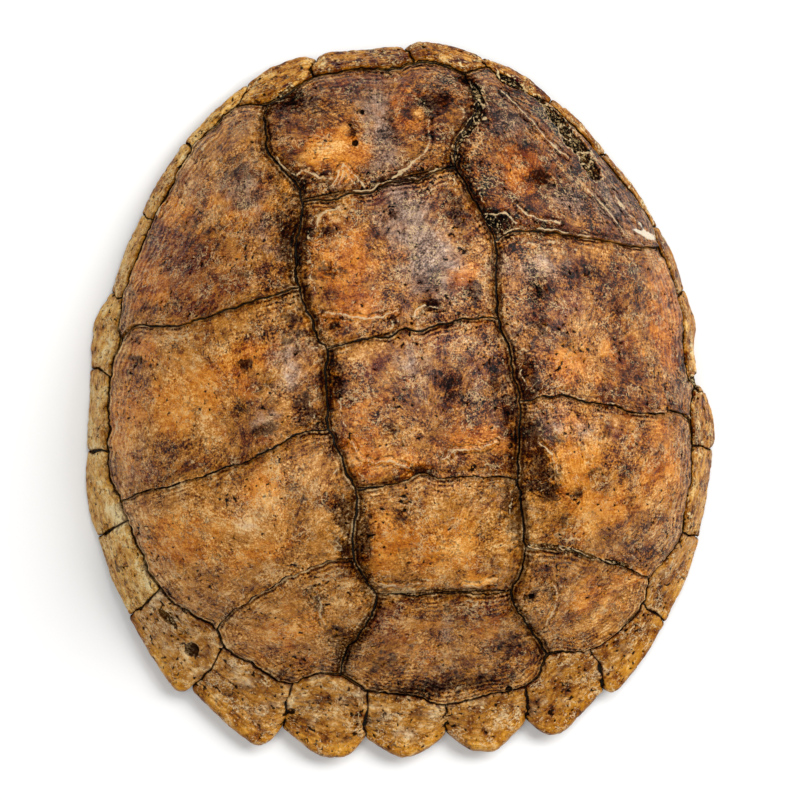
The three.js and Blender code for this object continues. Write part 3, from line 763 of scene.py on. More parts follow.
# Edges of thin flakes that lift a little from the face
FLAKES = [
    [(23.2, 113.2), (22, 105), (18.5, 98.5), (10, 93.5), (3.9, 90.5)],
    [(-40, 106), (-38.5, 102), (-36.7, 99.5), (-34.1, 96.7), (-30.7, 98.3), (-26.4, 95.1), (-20.8, 93.2)],
    [(-20.4, 90), (-17.6, 94.4), (-14.7, 98.6), (-12.4, 96), (-9.8, 91.6), (-7.6, 88.6)],
    [(-17.8, 90.2), (-14.7, 95.8), (-11.6, 90.2)],
    [(-31.1, 39.3), (-25.3, 38.1), (-20.7, 36.7), (-15.7, 35.6), (-9, 35.1), (-2.8, 36.7)],
    [(-30, 74), (-27.1, 78.8), (-24, 80.8), (-20, 80.7), (-18.6, 82.1)],
    [(4, 34), (5, 36.5), (9, 37), (16, 35.5)],
    [(-27.4, -12.9), (-24.9, -18.8), (-19.3, -21.9), (-13.3, -21.9), (-5.7, -25.7)],
    [(8, -24), (14, -21), (22, -22), (30, -20)], [(-22, -71), (-13.1, -73.2), (-6, -72)],
    [(12, -76), (18.6, -77.6), (25, -75)], [(53, 73.6), (57.8, 69), (61.7, 66.5), (70, 64.5)],
    [(39.8, 71.6), (43.3, 70.5), (47.6, 70.9), (52, 66.4)],
    [(99.1, 76), (101.5, 70), (104.5, 65.6), (108.6, 61)], [(86, 78), (92, 70), (97, 62.5), (99, 58)],
    [(58, 123), (66, 112), (74, 98), (80, 92)],
    [(49.7, -81.4), (51.5, -86), (50.9, -90.2), (45.9, -98)],
    [(-47.7, -69.9), (-46, -76), (-47, -80), (-44.8, -85.1)],
    [(-66, 123), (-75, 114), (-85, 100), (-90, 90)], [(47, -22), (52, -28), (54, -36)],
]


def stained(stain: Stain, plan: Array) -> Array:
    """How strongly one kind of stain discolours points in plan."""
    return sum(patch.weight(plan) for patch in STAINS[stain])


def nearest(line: Array, plan: Array) -> Array:
    """Distance of points from the nearest point of a dense line.

    Args:
        line: The line's points, in plan.
        plan: Points in plan.

    Returns:
        Distances, mm.
    """
    tree = KDTree(len(line))
    for i, (x, y) in enumerate(line):
        tree.insert((x, y, 0.0), i)
    tree.balance()
    near = np.array([tree.find((x, y, 0.0))[1] for x, y in plan])
    best = np.full(len(plan), np.inf)
    for step in (-1, 1):
        start, end = line[near], line[np.clip(near + step, 0, len(line) - 1)]
        run = end - start
        share = np.einsum("ij,ij->i", plan - start, run)
        share /= np.maximum(1e-9, np.einsum("ij,ij->i", run, run))
        foot = start + np.clip(share, 0, 1)[:, None] * run
        best = np.minimum(best, np.linalg.norm(plan - foot, axis=1))
    return best


# ---- meshes ---------------------------------------------------------------------------------------
def put_in_scene(name: str, data: bpy.types.ID) -> Piece:
    """Makes an object, at the origin.

    Args:
        name: Its name.
        data: Its mesh, lamp or camera.

    Returns:
        The object.
    """
    made = bpy.data.objects.new(name, data)
    bpy.context.scene.collection.objects.link(made)
    return made


def strip(inner: Array, outer: Array) -> Array:
    """Fills the strip between two rows of vertex numbers that run the same way, counter-clockwise.

    Args:
        inner: The row nearer to the middle.
        outer: The other row, of any other length.

    Returns:
        Triangles, three vertex numbers to a row.
    """
    n, m = len(inner) - 1, len(outer) - 1
    shares = np.concatenate([np.arange(1, n + 1) / max(n, 1), np.arange(1, m + 1) / max(m, 1)])
    outward = np.concatenate([np.zeros(n, bool), np.ones(m, bool)])
    order = np.lexsort((~outward, np.round(shares, 9)))
    outward = outward[order]
    i = np.cumsum(~outward) - ~outward
    j = np.cumsum(outward) - outward
    third = np.where(outward, outer[np.minimum(j + 1, m)], inner[np.minimum(i + 1, n)])
    return np.column_stack([inner[i], outer[j], third])


@dataclass
class Sheet:
    """A mesh being put together: its vertices, their attributes and its triangles."""

    places: list[Array] = field(default_factory=list)
    fields: list[Fields] = field(default_factory=list)
    faces: list[Array] = field(default_factory=list)
    count: int = 0

    def add(self, places: Array, fields: Fields | None = None) -> Array:
        """Adds vertices.

        Args:
            places: Where they are, mm.
            fields: Their attributes.

        Returns:
            Their numbers.
        """
        self.places.append(places)
        self.fields.append(fields or {})
        self.count += len(places)
        return np.arange(self.count - len(places), self.count)

    def piece(self, name: str) -> Piece:
        """Makes the object.

        Args:
            name: The piece's name.

        Returns:
            The object, at the origin, its mesh in metres.
        """
        mesh = bpy.data.meshes.new(name)
        mesh.from_pydata(np.vstack(self.places) * MM, [], np.vstack(self.faces))
        for key in sorted({key for part in self.fields for key in part}):
            wide = next(part[key].ndim for part in self.fields if key in part) > 1
            values = [
                part.get(key, np.zeros((len(places), 3) if wide else len(places)))
                for part, places in zip(self.fields, self.places)
            ]
            made = mesh.attributes.new(key, "FLOAT_VECTOR" if wide else "FLOAT", "POINT")
            flat_values = np.concatenate([v.ravel() for v in values]).astype(np.float32)
            made.data.foreach_set("vector" if wide else "value", flat_values)
        mesh.shade_smooth()
        mesh.validate()
        return put_in_scene(name, mesh)


def closed_row(numbers: Array) -> Array:
    """A row of vertex numbers that ends where it starts."""
    return np.append(numbers, numbers[0])


@dataclass
class InnerScute:
    """A vertebral or costal scute: a plate of horn that grew from its hub outwards, edge by edge."""

    name: str
    sides: list[tuple[Edge, Array]]
    hub: Point  # growth hub, as shares of the half-size away from the middle
    seed: int
    tone: float = 0.0  # how much paler than its neighbours
    lip: float = 0.5  # how far its rear edge curls up
    insets = {Edge.FRONT: 0.42, Edge.REAR: 0.0, Edge.LONG: 0.22, Edge.OUTER: 0.3}  # from its seams, mm
    sinks = {
        Edge.FRONT: Sink(0.9, 0.5, 0.5, 4.5),
        Edge.LONG: Sink(0.95, 0.5, 0.75, 5.0),
        Edge.OUTER: Sink(0.8, 0.4, 0.3, 3.0),
    }
    bumps = (Bumps(0.9, 30.0, 23, 2), Bumps(0.45, 8.0, 24, 3), Bumps(0.13, 1.8, 25, 2))

    def outline(self) -> tuple[Array, dict[Edge, Array]]:
        """Outline of the plate itself, clear of its neighbours.

        Returns:
            The closed outline, counter-clockwise, and its points of each kind of side.
        """
        line = np.vstack([points[:-1] for _, points in self.sides])
        kinds = np.concatenate([[edge.value] * (len(points) - 1) for edge, points in self.sides])
        inset = np.select([kinds == edge.value for edge in Edge], [self.insets[edge] for edge in Edge])
        ragged = np.where(kinds == Edge.REAR.value, 1.0, 0.35)
        inset = inset + ragged * 0.5 * lattice_noise(flat(line), 2.3, self.seed)
        inset = sum(np.roll(inset, k) for k in (-2, -1, 0, 1, 2)) / 5
        reach = max(2, round(1.4 / LINE_STEP))
        run = np.roll(line, -reach, axis=0) - np.roll(line, reach, axis=0)
        run /= np.linalg.norm(run, axis=1, keepdims=True)
        line = line + np.column_stack([-run[:, 1], run[:, 0]]) * inset[:, None]
        return line, {edge: line[kinds == edge.value] for edge in Edge if (kinds == edge.value).any()}

    def grown(self, line: Array, plan: Array) -> tuple[Array, Array]:
        """Where points lie between the growth hub and the edge.

        Args:
            line: The outline.
            plan: Points in plan.

        Returns:
            Direction from the hub as unit vectors, and the distance from the edge along it, mm.
        """
        middle = line.mean(axis=0)
        hub = middle + np.array(self.hub) * (line.max(axis=0) - line.min(axis=0)) / 2
        edge = Dome.polar(line - hub)
        away = plan - hub
        angle = np.arctan2(away[:, 1], away[:, 0])
        return np.column_stack([np.cos(angle), np.sin(angle)]), Dome.read(edge, angle) - np.hypot(*away.T)

    @staticmethod
    def growth(surface: Array, far: dict[Edge, Array], grown: Array, fields: Fields) -> Array:
        """Rings that the horn grew in, which also show as paler and darker lines.

        Args:
            surface: The face's points on the dome, mm.
            far: Distance from each kind of side, mm.
            grown: Distance from the edge along the way it grew, mm.
            fields: The face's attributes, whose tone gains the lines.

        Returns:
            Heights, mm.
        """
        front, _, long, outer = (far[edge] for edge in Edge)
        near = np.minimum.reduce((front, long, outer))
        warped = grown + 0.8 * lattice_noise(surface, 9.0, 21)
        waves = 0.5 + 0.5 * lattice_noise(surface, 16.0, 22)
        stripes = rings(warped, 1.5) * fade(near, 7.0) + 0.45 * waves * rings(warped, 3.7, 1.0)
        lines = rings(warped, 1.9, 2 * lattice_noise(surface, 20.0, 40)) * fade(outer, 9.0)
        ledges = rings(front, 1.8, 1.5 * lattice_noise(surface, 9.0, 45)) * fade(front, 4.5)
        ledges += 0.7 * rings(long, 1.9, 1.5 * lattice_noise(surface, 9.0, 46)) * fade(long, 3.0)
        ledges *= rise(lattice_noise(surface, 14.0, 47), -0.35, 0.15)
        fields["tone"] += 0.06 * stripes + 0.30 * lines + 0.42 * ledges
        return 0.15 * stripes + 0.16 * ledges + 0.3 * rings(long, 1.3, 1.0) * fade(long, 2.2)

    @staticmethod
    def flake_edges(plan: Array, surface: Array) -> Array:
        """Distance of a face's points from the nearest flake's edge, which is jagged.

        Args:
            plan: Points in plan, mm.
            surface: The same points on the dome.

        Returns:
            Distances, mm.
        """
        jags = [
            lattice_noise(surface, 4.0, seed) + 0.4 * lattice_noise(surface, 1.5, seed) for seed in (29, 49)
        ]
        jagged = plan + 0.8 * np.column_stack(jags)
        lines = (spaced(np.array(line, float), np.linspace(0, 1, 60)) for line in FLAKES)
        return np.minimum.reduce([nearest(line, jagged) for line in lines])

    def relief(
        self, plan: Array, surface: Array, far: dict[Edge, Array], grown: Array, fields: Fields
    ) -> Array:
        """Height of the horn's face over the even dome.

        Args:
            plan: Points in plan, mm.
            surface: The same points on the dome.
            far: Distance from each kind of side, mm.
            grown: Distance from the edge along the way it grew, mm.
            fields: The face's attributes, which gain what the relief finds.

        Returns:
            Heights, mm.
        """
        front, rear, long, outer = (far[edge] for edge in Edge)
        every = np.minimum.reduce((front, rear, long, outer))
        curl = self.lip * (0.35 + 0.65 * rise(lattice_noise(surface, 9.0, 30), -0.15, 0.3))
        height = 0.6 * curl * ridge(rear, 0.9) - 0.22 * ridge(rear, 1.2, 2.2)
        height -= sum(sink.depth(far[edge]) for edge, sink in self.sinks.items())
        height += sum(bumps.over(surface) for bumps in self.bumps)
        height += self.growth(surface, far, grown, fields)
        pits = rise(lattice_noise(surface, 1.6, 26) + 0.4 * lattice_noise(surface, 12.0, 27), 0.55, 0.75)
        # A thin outer layer that is left in places near the edges, and the flakes farther in
        layer = every + 6.0 * fractal_noise(surface, 10.0, 28, 4) - 4.5
        here = rise(lattice_noise(surface, 22.0, 38), -0.15, 0.2)
        layered = here * (1 - rise(layer, -0.35, 0.35))
        flake = self.flake_edges(plan, surface)
        height += 0.2 * layered - 0.3 * pits + 0.3 * ridge(flake, 0.7) - 0.12 * ridge(flake, 0.5, 1.5)
        patchy = lattice_noise(surface, 5.0, 39)
        chipped = rise(lattice_noise(surface, 8.0, 36), 0.05, 0.3)
        # Pale edges where the horn curls up, chips or flakes: worn horn, and partly a painted highlight on
        # these raised edges
        lips = (
            curl * ridge(rear, 0.4, 0.25),
            0.5 * chipped * ridge(long, 0.35, 0.9 + 0.5 * chipped),
            0.5 * chipped * ridge(outer, 0.3, 0.7),
            1.15 * (0.72 + 0.28 * rise(patchy, -0.3, 0.2)) * ridge(flake, 0.4),
            0.75 * here * ridge(layer, 0.5) * rise(patchy, -0.2, 0.1),
        )
        # Darker towards the seams and in a band inside each flake's edge: dirt in the seams, and painted
        # shade in these hollows and under the lifted flakes
        grime = (
            0.9 * fade(long, 2.4), 0.75 * fade(front, 1.8), 0.45 * fade(outer, 1.4),
            0.3 * ridge(rear, 0.9, 1.6), 0.55 * ridge(flake, 0.5, 1.5),
        )
        worn = 0.7 + 0.5 * lattice_noise(surface, 5.0, 37)
        cracks = (
            ridge(long, 0.42 * worn), ridge(front, 0.36 * worn), 0.9 * ridge(outer, 0.3 * worn), 0.7 * pits,
        )
        fields["lip"], fields["grime"], fields["crack"] = map(np.maximum.reduce, (lips, grime, cracks))
        fields["tone"] -= 0.05 * layered
        # Darker towards the long seams and all edges, where the face sinks: partly dirt, partly painted
        # shade
        fields["dark"] = np.minimum(1.3, fields["dark"] + 0.45 * fade(long, 5.0) + 0.3 * fade(every, 4.0))
        # The horn is greyer towards the long seams, which is its own colour there
        fields["grey"] += 0.4 * fade(long, 7.0)
        return height

    @staticmethod
    def rows(line: Array) -> list[Array]:
        """Rows of points, wider apart farther in.

        Args:
            line: The outline, in plan.

        Returns:
            The rows, from the outline in to the middle, which is the last.
        """
        middle = line.mean(axis=0)
        reach = np.linalg.norm(line - middle, axis=1).mean()
        steps = np.minimum(EDGE_STEP + 0.05 * np.arange(400), FACE_STEP)
        depths = np.concatenate([[0.0], np.cumsum(steps)])
        depths = depths[depths < reach - FACE_STEP]
        loop = np.vstack([line, line[:1]])
        made = []
        for share, step in zip(1 - depths / reach, steps):
            count = max(6, round(length_of(line) * share / max(step, LINE_STEP)))
            made.append(middle + share * (spaced(loop, np.arange(count) / count) - middle))
        return [*made, middle[None]]

    def build(self, dome: Dome) -> Piece:
        """Builds the plate.

        Args:
            dome: The surface that it lies on.

        Returns:
            The plate's object.
        """
        line, sides = self.outline()
        rows = self.rows(line)
        plan = np.vstack(rows)
        t, angle = dome.place_over(plan)
        surface = dome.spot(t, angle, 0.0, EDGE / 2, EDGE / 2)
        nothing = np.full(len(plan), 1e3)
        far = {edge: nearest(sides[edge], plan) if edge in sides else nothing for edge in Edge}
        direction, grown = self.grown(line, plan)
        stains = {stain: stained(stain, plan) for stain in Stain}
        fields: Fields = {
            "grain": np.column_stack([direction, grown]),
            "tone": self.tone + 0.20 * stains[Stain.PALE] - 0.10 * stains[Stain.DARK],
            **{stain.value: stains[stain] for stain in Stain if stain != Stain.PALE},
        }
        height = self.relief(plan, surface, far, grown, fields)
        height = np.maximum(break_out(plan, surface, height, fields), DEEPEST)
        sheet = Sheet()
        every = sheet.add(dome.spot(t, angle, 0.0, EDGE / 2, EDGE / 2 + height), fields)
        ends = np.cumsum([len(row) for row in rows])
        numbers = [every[end - len(row) : end] for row, end in zip(rows, ends)]
        numbers = [numbers[-1]] + [closed_row(row) for row in numbers[-2::-1]]
        middle = rows[-1]
        for share, thin in ((1.0, 1), (0.93, 3), (0.5, 9), (0.0, len(line))):
            t, angle = dome.place_over(middle + share * (line[::thin] - middle))
            under = sheet.add(dome.spot(t, angle, 0.0, EDGE / 2, EDGE / 2 - HORN))
            numbers.append(closed_row(under) if len(under) > 1 else under)
        sheet.faces = [strip(inner, outer) for inner, outer in itertools.pairwise(numbers)]
        return sheet.piece(self.name)


def break_out(plan: Array, surface: Array, height: Array, fields: Fields) -> Array:
    """Breaks horn out of a face, down to dark dirt and crumbs, with a pale edge round each break.

    Args:
        plan: Points in plan, mm.
        surface: The same points on the dome.
        height: Heights before.
        fields: The face's attributes, which gain the breaks.

    Returns:
        Heights after, mm.
    """
    broken, pit, edge = np.zeros((3, len(plan)))
    rough = fractal_noise(surface, 4.0, 41, 4)
    crumbs = fractal_noise(surface, 1.6, 42, 3)
    for patch in BREAKS:
        far = patch.distance(plan) + 0.6 * rough
        inside = 1 - rise(far, 0.88, 1.1)
        height = height - inside * (patch.strength + 0.9 * crumbs)
        broken = np.maximum(broken, inside)
        # The pale rim round a break is worn horn and partly a painted highlight on its raised edge
        edge = np.maximum(edge, 0.85 * ridge(far, 0.1, 1.16))
    for patch in HOLES:
        far = patch.distance(plan) + 0.06 * rough
        inside = 1 - rise(far, 0.9, 1.08)
        height = height - inside * patch.strength
        pit = np.maximum(pit, inside)
        edge = np.maximum(edge, 0.55 * ridge(far, 0.12, 1.2))
    fields["broken"] = broken
    fields["crack"] = np.maximum(fields["crack"], 1.1 * pit)
    fields["lip"] = np.maximum(fields["lip"], edge)
    return height + 0.2 * edge


def one_of(name: str, numbers: range) -> bool:
    """Whether a scute's name ends with one of some numbers."""
    return any(name.endswith(f"_{number}") for number in numbers)


@dataclass
class RimScute:
    """A scute of the ring, from its inner edge down to the rim, and round it where the rim is free."""

    name: str
    ring: Array
    rim: Array
    seed: int
    tone: float = 0.0  # how much paler than its neighbours
    side_gap = 0.18  # that it stays clear of its side seams, mm
    ring_gap = 0.3  # that it stays clear of the inner scutes, mm
    bend = 2.2  # how far its rows of points sway, mm
    profile_length = 150.0  # of the dome, from its top to the rim, mm
    ring_sink = Sink(0.8, 0.45, 0.3, 3.0)
    side_sink = Sink(0.6, 0.35, 0.25, 2.4)
    bumps = (Bumps(0.6, 11.0, 31, 3), Bumps(0.32, 2.8, 32, 3))

    @property
    def turns_under(self) -> bool:
        """Whether the rim is free: over the bridge the horn ends at it."""
        return not one_of(self.name, BRIDGE_SCUTES)

    def grid(self, dome: Dome) -> tuple[Array, Array, Array, Array, Array]:
        """Places of the plate's outer face, in rows from the ring outwards.

        Args:
            dome: The surface that it lies on.

        Returns:
            t, direction and turn of each place, its distance from the ring and from the side seams.
        """
        width = float(np.linalg.norm(self.ring.mean(axis=0) - self.rim.mean(axis=0)))
        length = (length_of(self.ring) + length_of(self.rim)) / 2
        gap = self.side_gap / length
        columns = np.linspace(gap, 1 - gap, max(10, round(length / (FACE_STEP * 1.02))))
        ring = spaced(self.ring, columns)
        ring *= 1 + self.ring_gap / np.linalg.norm(ring, axis=1, keepdims=True)
        rim = spaced(self.rim, columns)
        ring_t, ring_angle = dome.place_over(ring)
        rim_angle = np.arctan2(rim[:, 1], rim[:, 0])
        rim_angle = ring_angle + (rim_angle - ring_angle + math.pi) % TURN - math.pi
        share = np.linspace(0, 1, max(8, round(width * 1.25 / FACE_STEP)))[:, None]
        even = ring_angle + (rim_angle - ring_angle) * share
        spots = np.stack([even * RIM_RADIUS, share * width + 0 * even, 0 * even], axis=-1)
        bends = lattice_noise(spots.reshape(-1, 3), 6.0, 48).reshape(even.shape)
        bent = even + self.bend / RIM_RADIUS * bends * 4 * share * (1 - share)
        rows = [(ring_t + (1 - ring_t) * share, bent, 0 * share, share * width)]
        if self.turns_under:
            turns = np.linspace(0, 180, max(6, round(13 / COARSEN)))[1:, None]
            back = np.linspace(0, UNDERLAP, max(4, round(10 / COARSEN)))[1:, None]
            over, under = np.radians(turns) * EDGE / 2, math.pi * EDGE / 2 + back * self.profile_length
            rows.append((1 + 0 * turns, rim_angle, turns, width + over))
            rows.append((1 - back, rim_angle, 180 + 0 * back, width + under))
        t, angle, turn, walk = (
            np.vstack([np.broadcast_to(values[k], (len(values[0]), len(columns))) for values in rows])
            for k in range(4)
        )
        side = np.broadcast_to(np.minimum(columns, 1 - columns) * length, t.shape)
        return t, angle, turn, walk, side

    def relief(self, surface: Array, walk: Array, side: Array, inward: Array, fields: Fields) -> Array:
        """Height of the horn's face over the even dome.

        Args:
            surface: Points on the dome, mm.
            walk: Their distance from the inner edge, mm.
            side: Their distance from the side seams, mm.
            inward: Their distance from the rim, mm.
            fields: The face's attributes, which gain what the relief finds.

        Returns:
            Heights, mm.
        """
        height = sum(bumps.over(surface) for bumps in self.bumps)
        height -= self.ring_sink.depth(walk) + self.side_sink.depth(side)
        height += 0.12 * rings(inward, 1.9, 2.5 * lattice_noise(surface, 7.0, 33))
        pits = rise(lattice_noise(surface, 1.9, 34), 0.42, 0.6)
        layer = np.minimum(walk, side) + 6.0 * fractal_noise(surface, 7.0, 43, 4) - 3.5
        here = rise(lattice_noise(surface, 12.0, 44), -0.1, 0.2)
        height += 0.2 * here * (1 - rise(layer, -0.35, 0.35)) - 0.26 * pits
        worn = 0.75 + 0.5 * lattice_noise(surface, 5.0, 37)
        cracks = (0.9 * ridge(walk, 0.3 * worn), ridge(side, 0.3 * worn), 0.7 * pits)
        fields["crack"] = np.maximum.reduce(cracks)
        # Darker towards the seams: dirt, and painted shade where the face sinks into them
        fields["grime"] = 0.6 * np.maximum(fade(walk, 1.5), fade(side, 1.2))
        # Pale edges: worn horn, and partly a painted highlight on the raised edges
        fields["lip"] = np.maximum(0.5 * ridge(walk, 0.35, 1.0), 0.8 * here * ridge(layer, 0.5))
        # A painted glow of light through the thin horn, strongest about a millimetre in from the rim
        fields["glow"] = fade(np.abs(inward - 1.0), 3.5)
        return height

    def build(self, dome: Dome) -> Piece:
        """Builds the plate.

        Args:
            dome: The surface that it lies on.

        Returns:
            The plate's object.
        """
        grid = self.grid(dome)
        shape = grid[0].shape
        t, angle, turn, walk, side = (values.ravel() for values in grid)
        surface = dome.spot(t, angle, turn, EDGE / 2, EDGE / 2)
        last = grid[3][grid[2][:, 0] == 0][-1, 0]
        side = np.maximum(0.0, side - self.side_gap + 0.25 * lattice_noise(surface, 1.8, self.seed))
        around = angle * RIM_RADIUS + 1.5 * lattice_noise(surface, 5.0, 35)
        plan = surface[:, :2]
        dark, pale = stained(Stain.DARK, plan), stained(Stain.PALE, plan)
        fields: Fields = {
            "dark": dark,
            "tone": self.tone + 0.25 * pale - 0.06 * dark,
            "grain": np.column_stack([around, walk, 0 * walk]),
        }
        height = self.relief(surface, walk, side, last - walk, fields)
        height = np.maximum(break_out(plan, surface, height, fields), DEEPEST)
        sheet = Sheet()
        top = sheet.add(dome.spot(t, angle, turn, EDGE / 2, EDGE / 2 + height), fields).reshape(shape)
        picks = (
            np.unique(np.linspace(0, size - 1, count).round().astype(int))
            for size, count in ((shape[0], min(shape[0], 14)), (shape[1], max(3, shape[1] // 4)))
        )
        picked = top[np.ix_(*picks)]
        where = (values[picked.ravel()] for values in (t, angle, turn))
        under = dome.spot(*where, EDGE / 2, EDGE / 2 - HORN)
        low = sheet.add(under).reshape(picked.shape)
        sheet.faces = [strip(inner, outer) for inner, outer in itertools.pairwise(top)]
        sheet.faces += [strip(inner, outer)[:, ::-1] for inner, outer in itertools.pairwise(low)]
        sheet.faces += [strip(low[0], top[0]), strip(top[-1], low[-1])]
        sheet.faces += [strip(top[:, 0], low[:, 0]), strip(low[:, -1], top[:, -1])]
        return sheet.piece(self.name)


@dataclass
class BonyCarapace:
    """The plate of fused bone, with its ribs and sutures on the underside."""

    rib_spacing: float = 25.0
    rib_height: float = 1.6
    half_size: Point = (133.0, 149.0)
    rim_radius: float = 0.9  # half its thickness at the free rim
    deep: float = 0.9  # share of the profile up to which it has its full thickness
    bumps: Bumps = Bumps(0.3, 12.0, 53, 4)

    def under_relief(self, plan: Array, places: Array) -> Array:
        """Extra thickness of the plate's underside: ribs stand out, sutures are cut in.

        Args:
            plan: Points in plan, mm.
            places: The same points on the underside.

        Returns:
            Extra thickness, mm.
        """
        x, y = plan.T
        fanned = y / (1 + np.abs(x) / 420) + 0.7 * lattice_noise(places, 6.0, 51)
        middle = np.abs((fanned / self.rib_spacing + 0.5) % 1 - 0.5) * self.rib_spacing
        out = np.hypot(x / self.half_size[0], y / self.half_size[1])
        ribs = self.rib_height * ridge(middle, 3.4) * (1 - rise(out, 0.78, 0.9))
        between = 0.7 * ridge(self.rib_spacing / 2 - middle, 0.9) * (1 - rise(out, 0.8, 0.86))
        round_rim = 140 * np.abs(out - 0.84 - 0.008 * lattice_noise(places, 7.0, 52))
        cuts = np.maximum(between, 0.7 * ridge(round_rim, 0.9))
        return ribs - cuts + self.bumps.over(places)

    def plate(self, dome: Dome) -> Piece:
        """Builds the plate.

        Args:
            dome: The surface that it follows.

        Returns:
            The plate's object.
        """
        sheet = Sheet()

        def row(t: float, turn: float) -> Array:
            """Adds one closed row round the plate, or its middle.

            Args:
                t: Share of the profile.
                turn: 0 on the upper side, over the rim to 180 degrees on the underside.

            Returns:
                Its vertex numbers.
            """
            count = max(1, round(TURN * 140 * t / BONE_STEP))
            angle = np.linspace(-math.pi, math.pi, count, endpoint=False)
            bridge = dome.profile(angle)[4]
            deep = turn == 180 and t < self.deep
            radius = self.rim_radius + (BONE / 2 - self.rim_radius) * (np.ones(count) if deep else bridge)
            shares = np.full(count, t)
            places = dome.spot(shares, angle, turn, BONE_TOP + radius, radius)
            relief = np.zeros(count)
            if deep:
                relief = self.under_relief(places[:, :2], places) * rise(self.deep - shares, 0.0, 0.04)
                places = dome.spot(shares, angle, turn, BONE_TOP + radius, radius + relief)
            made = sheet.add(places, {"relief": relief, "upper": np.full(count, float(turn < 90))})
            return closed_row(made) if count > 1 else made

        top = [row(t, 0) for t in np.linspace(0, 1, round(90 / COARSEN))]
        edge = [row(1, turn) for turn in (30, 60, 90, 120, 150)]
        under = [row(t, 180) for t in np.linspace(1, 0, round(90 / COARSEN))]
        sheet.faces = [strip(inner, outer) for inner, outer in itertools.pairwise(top + edge + under)]
        return sheet.piece("bony_carapace")


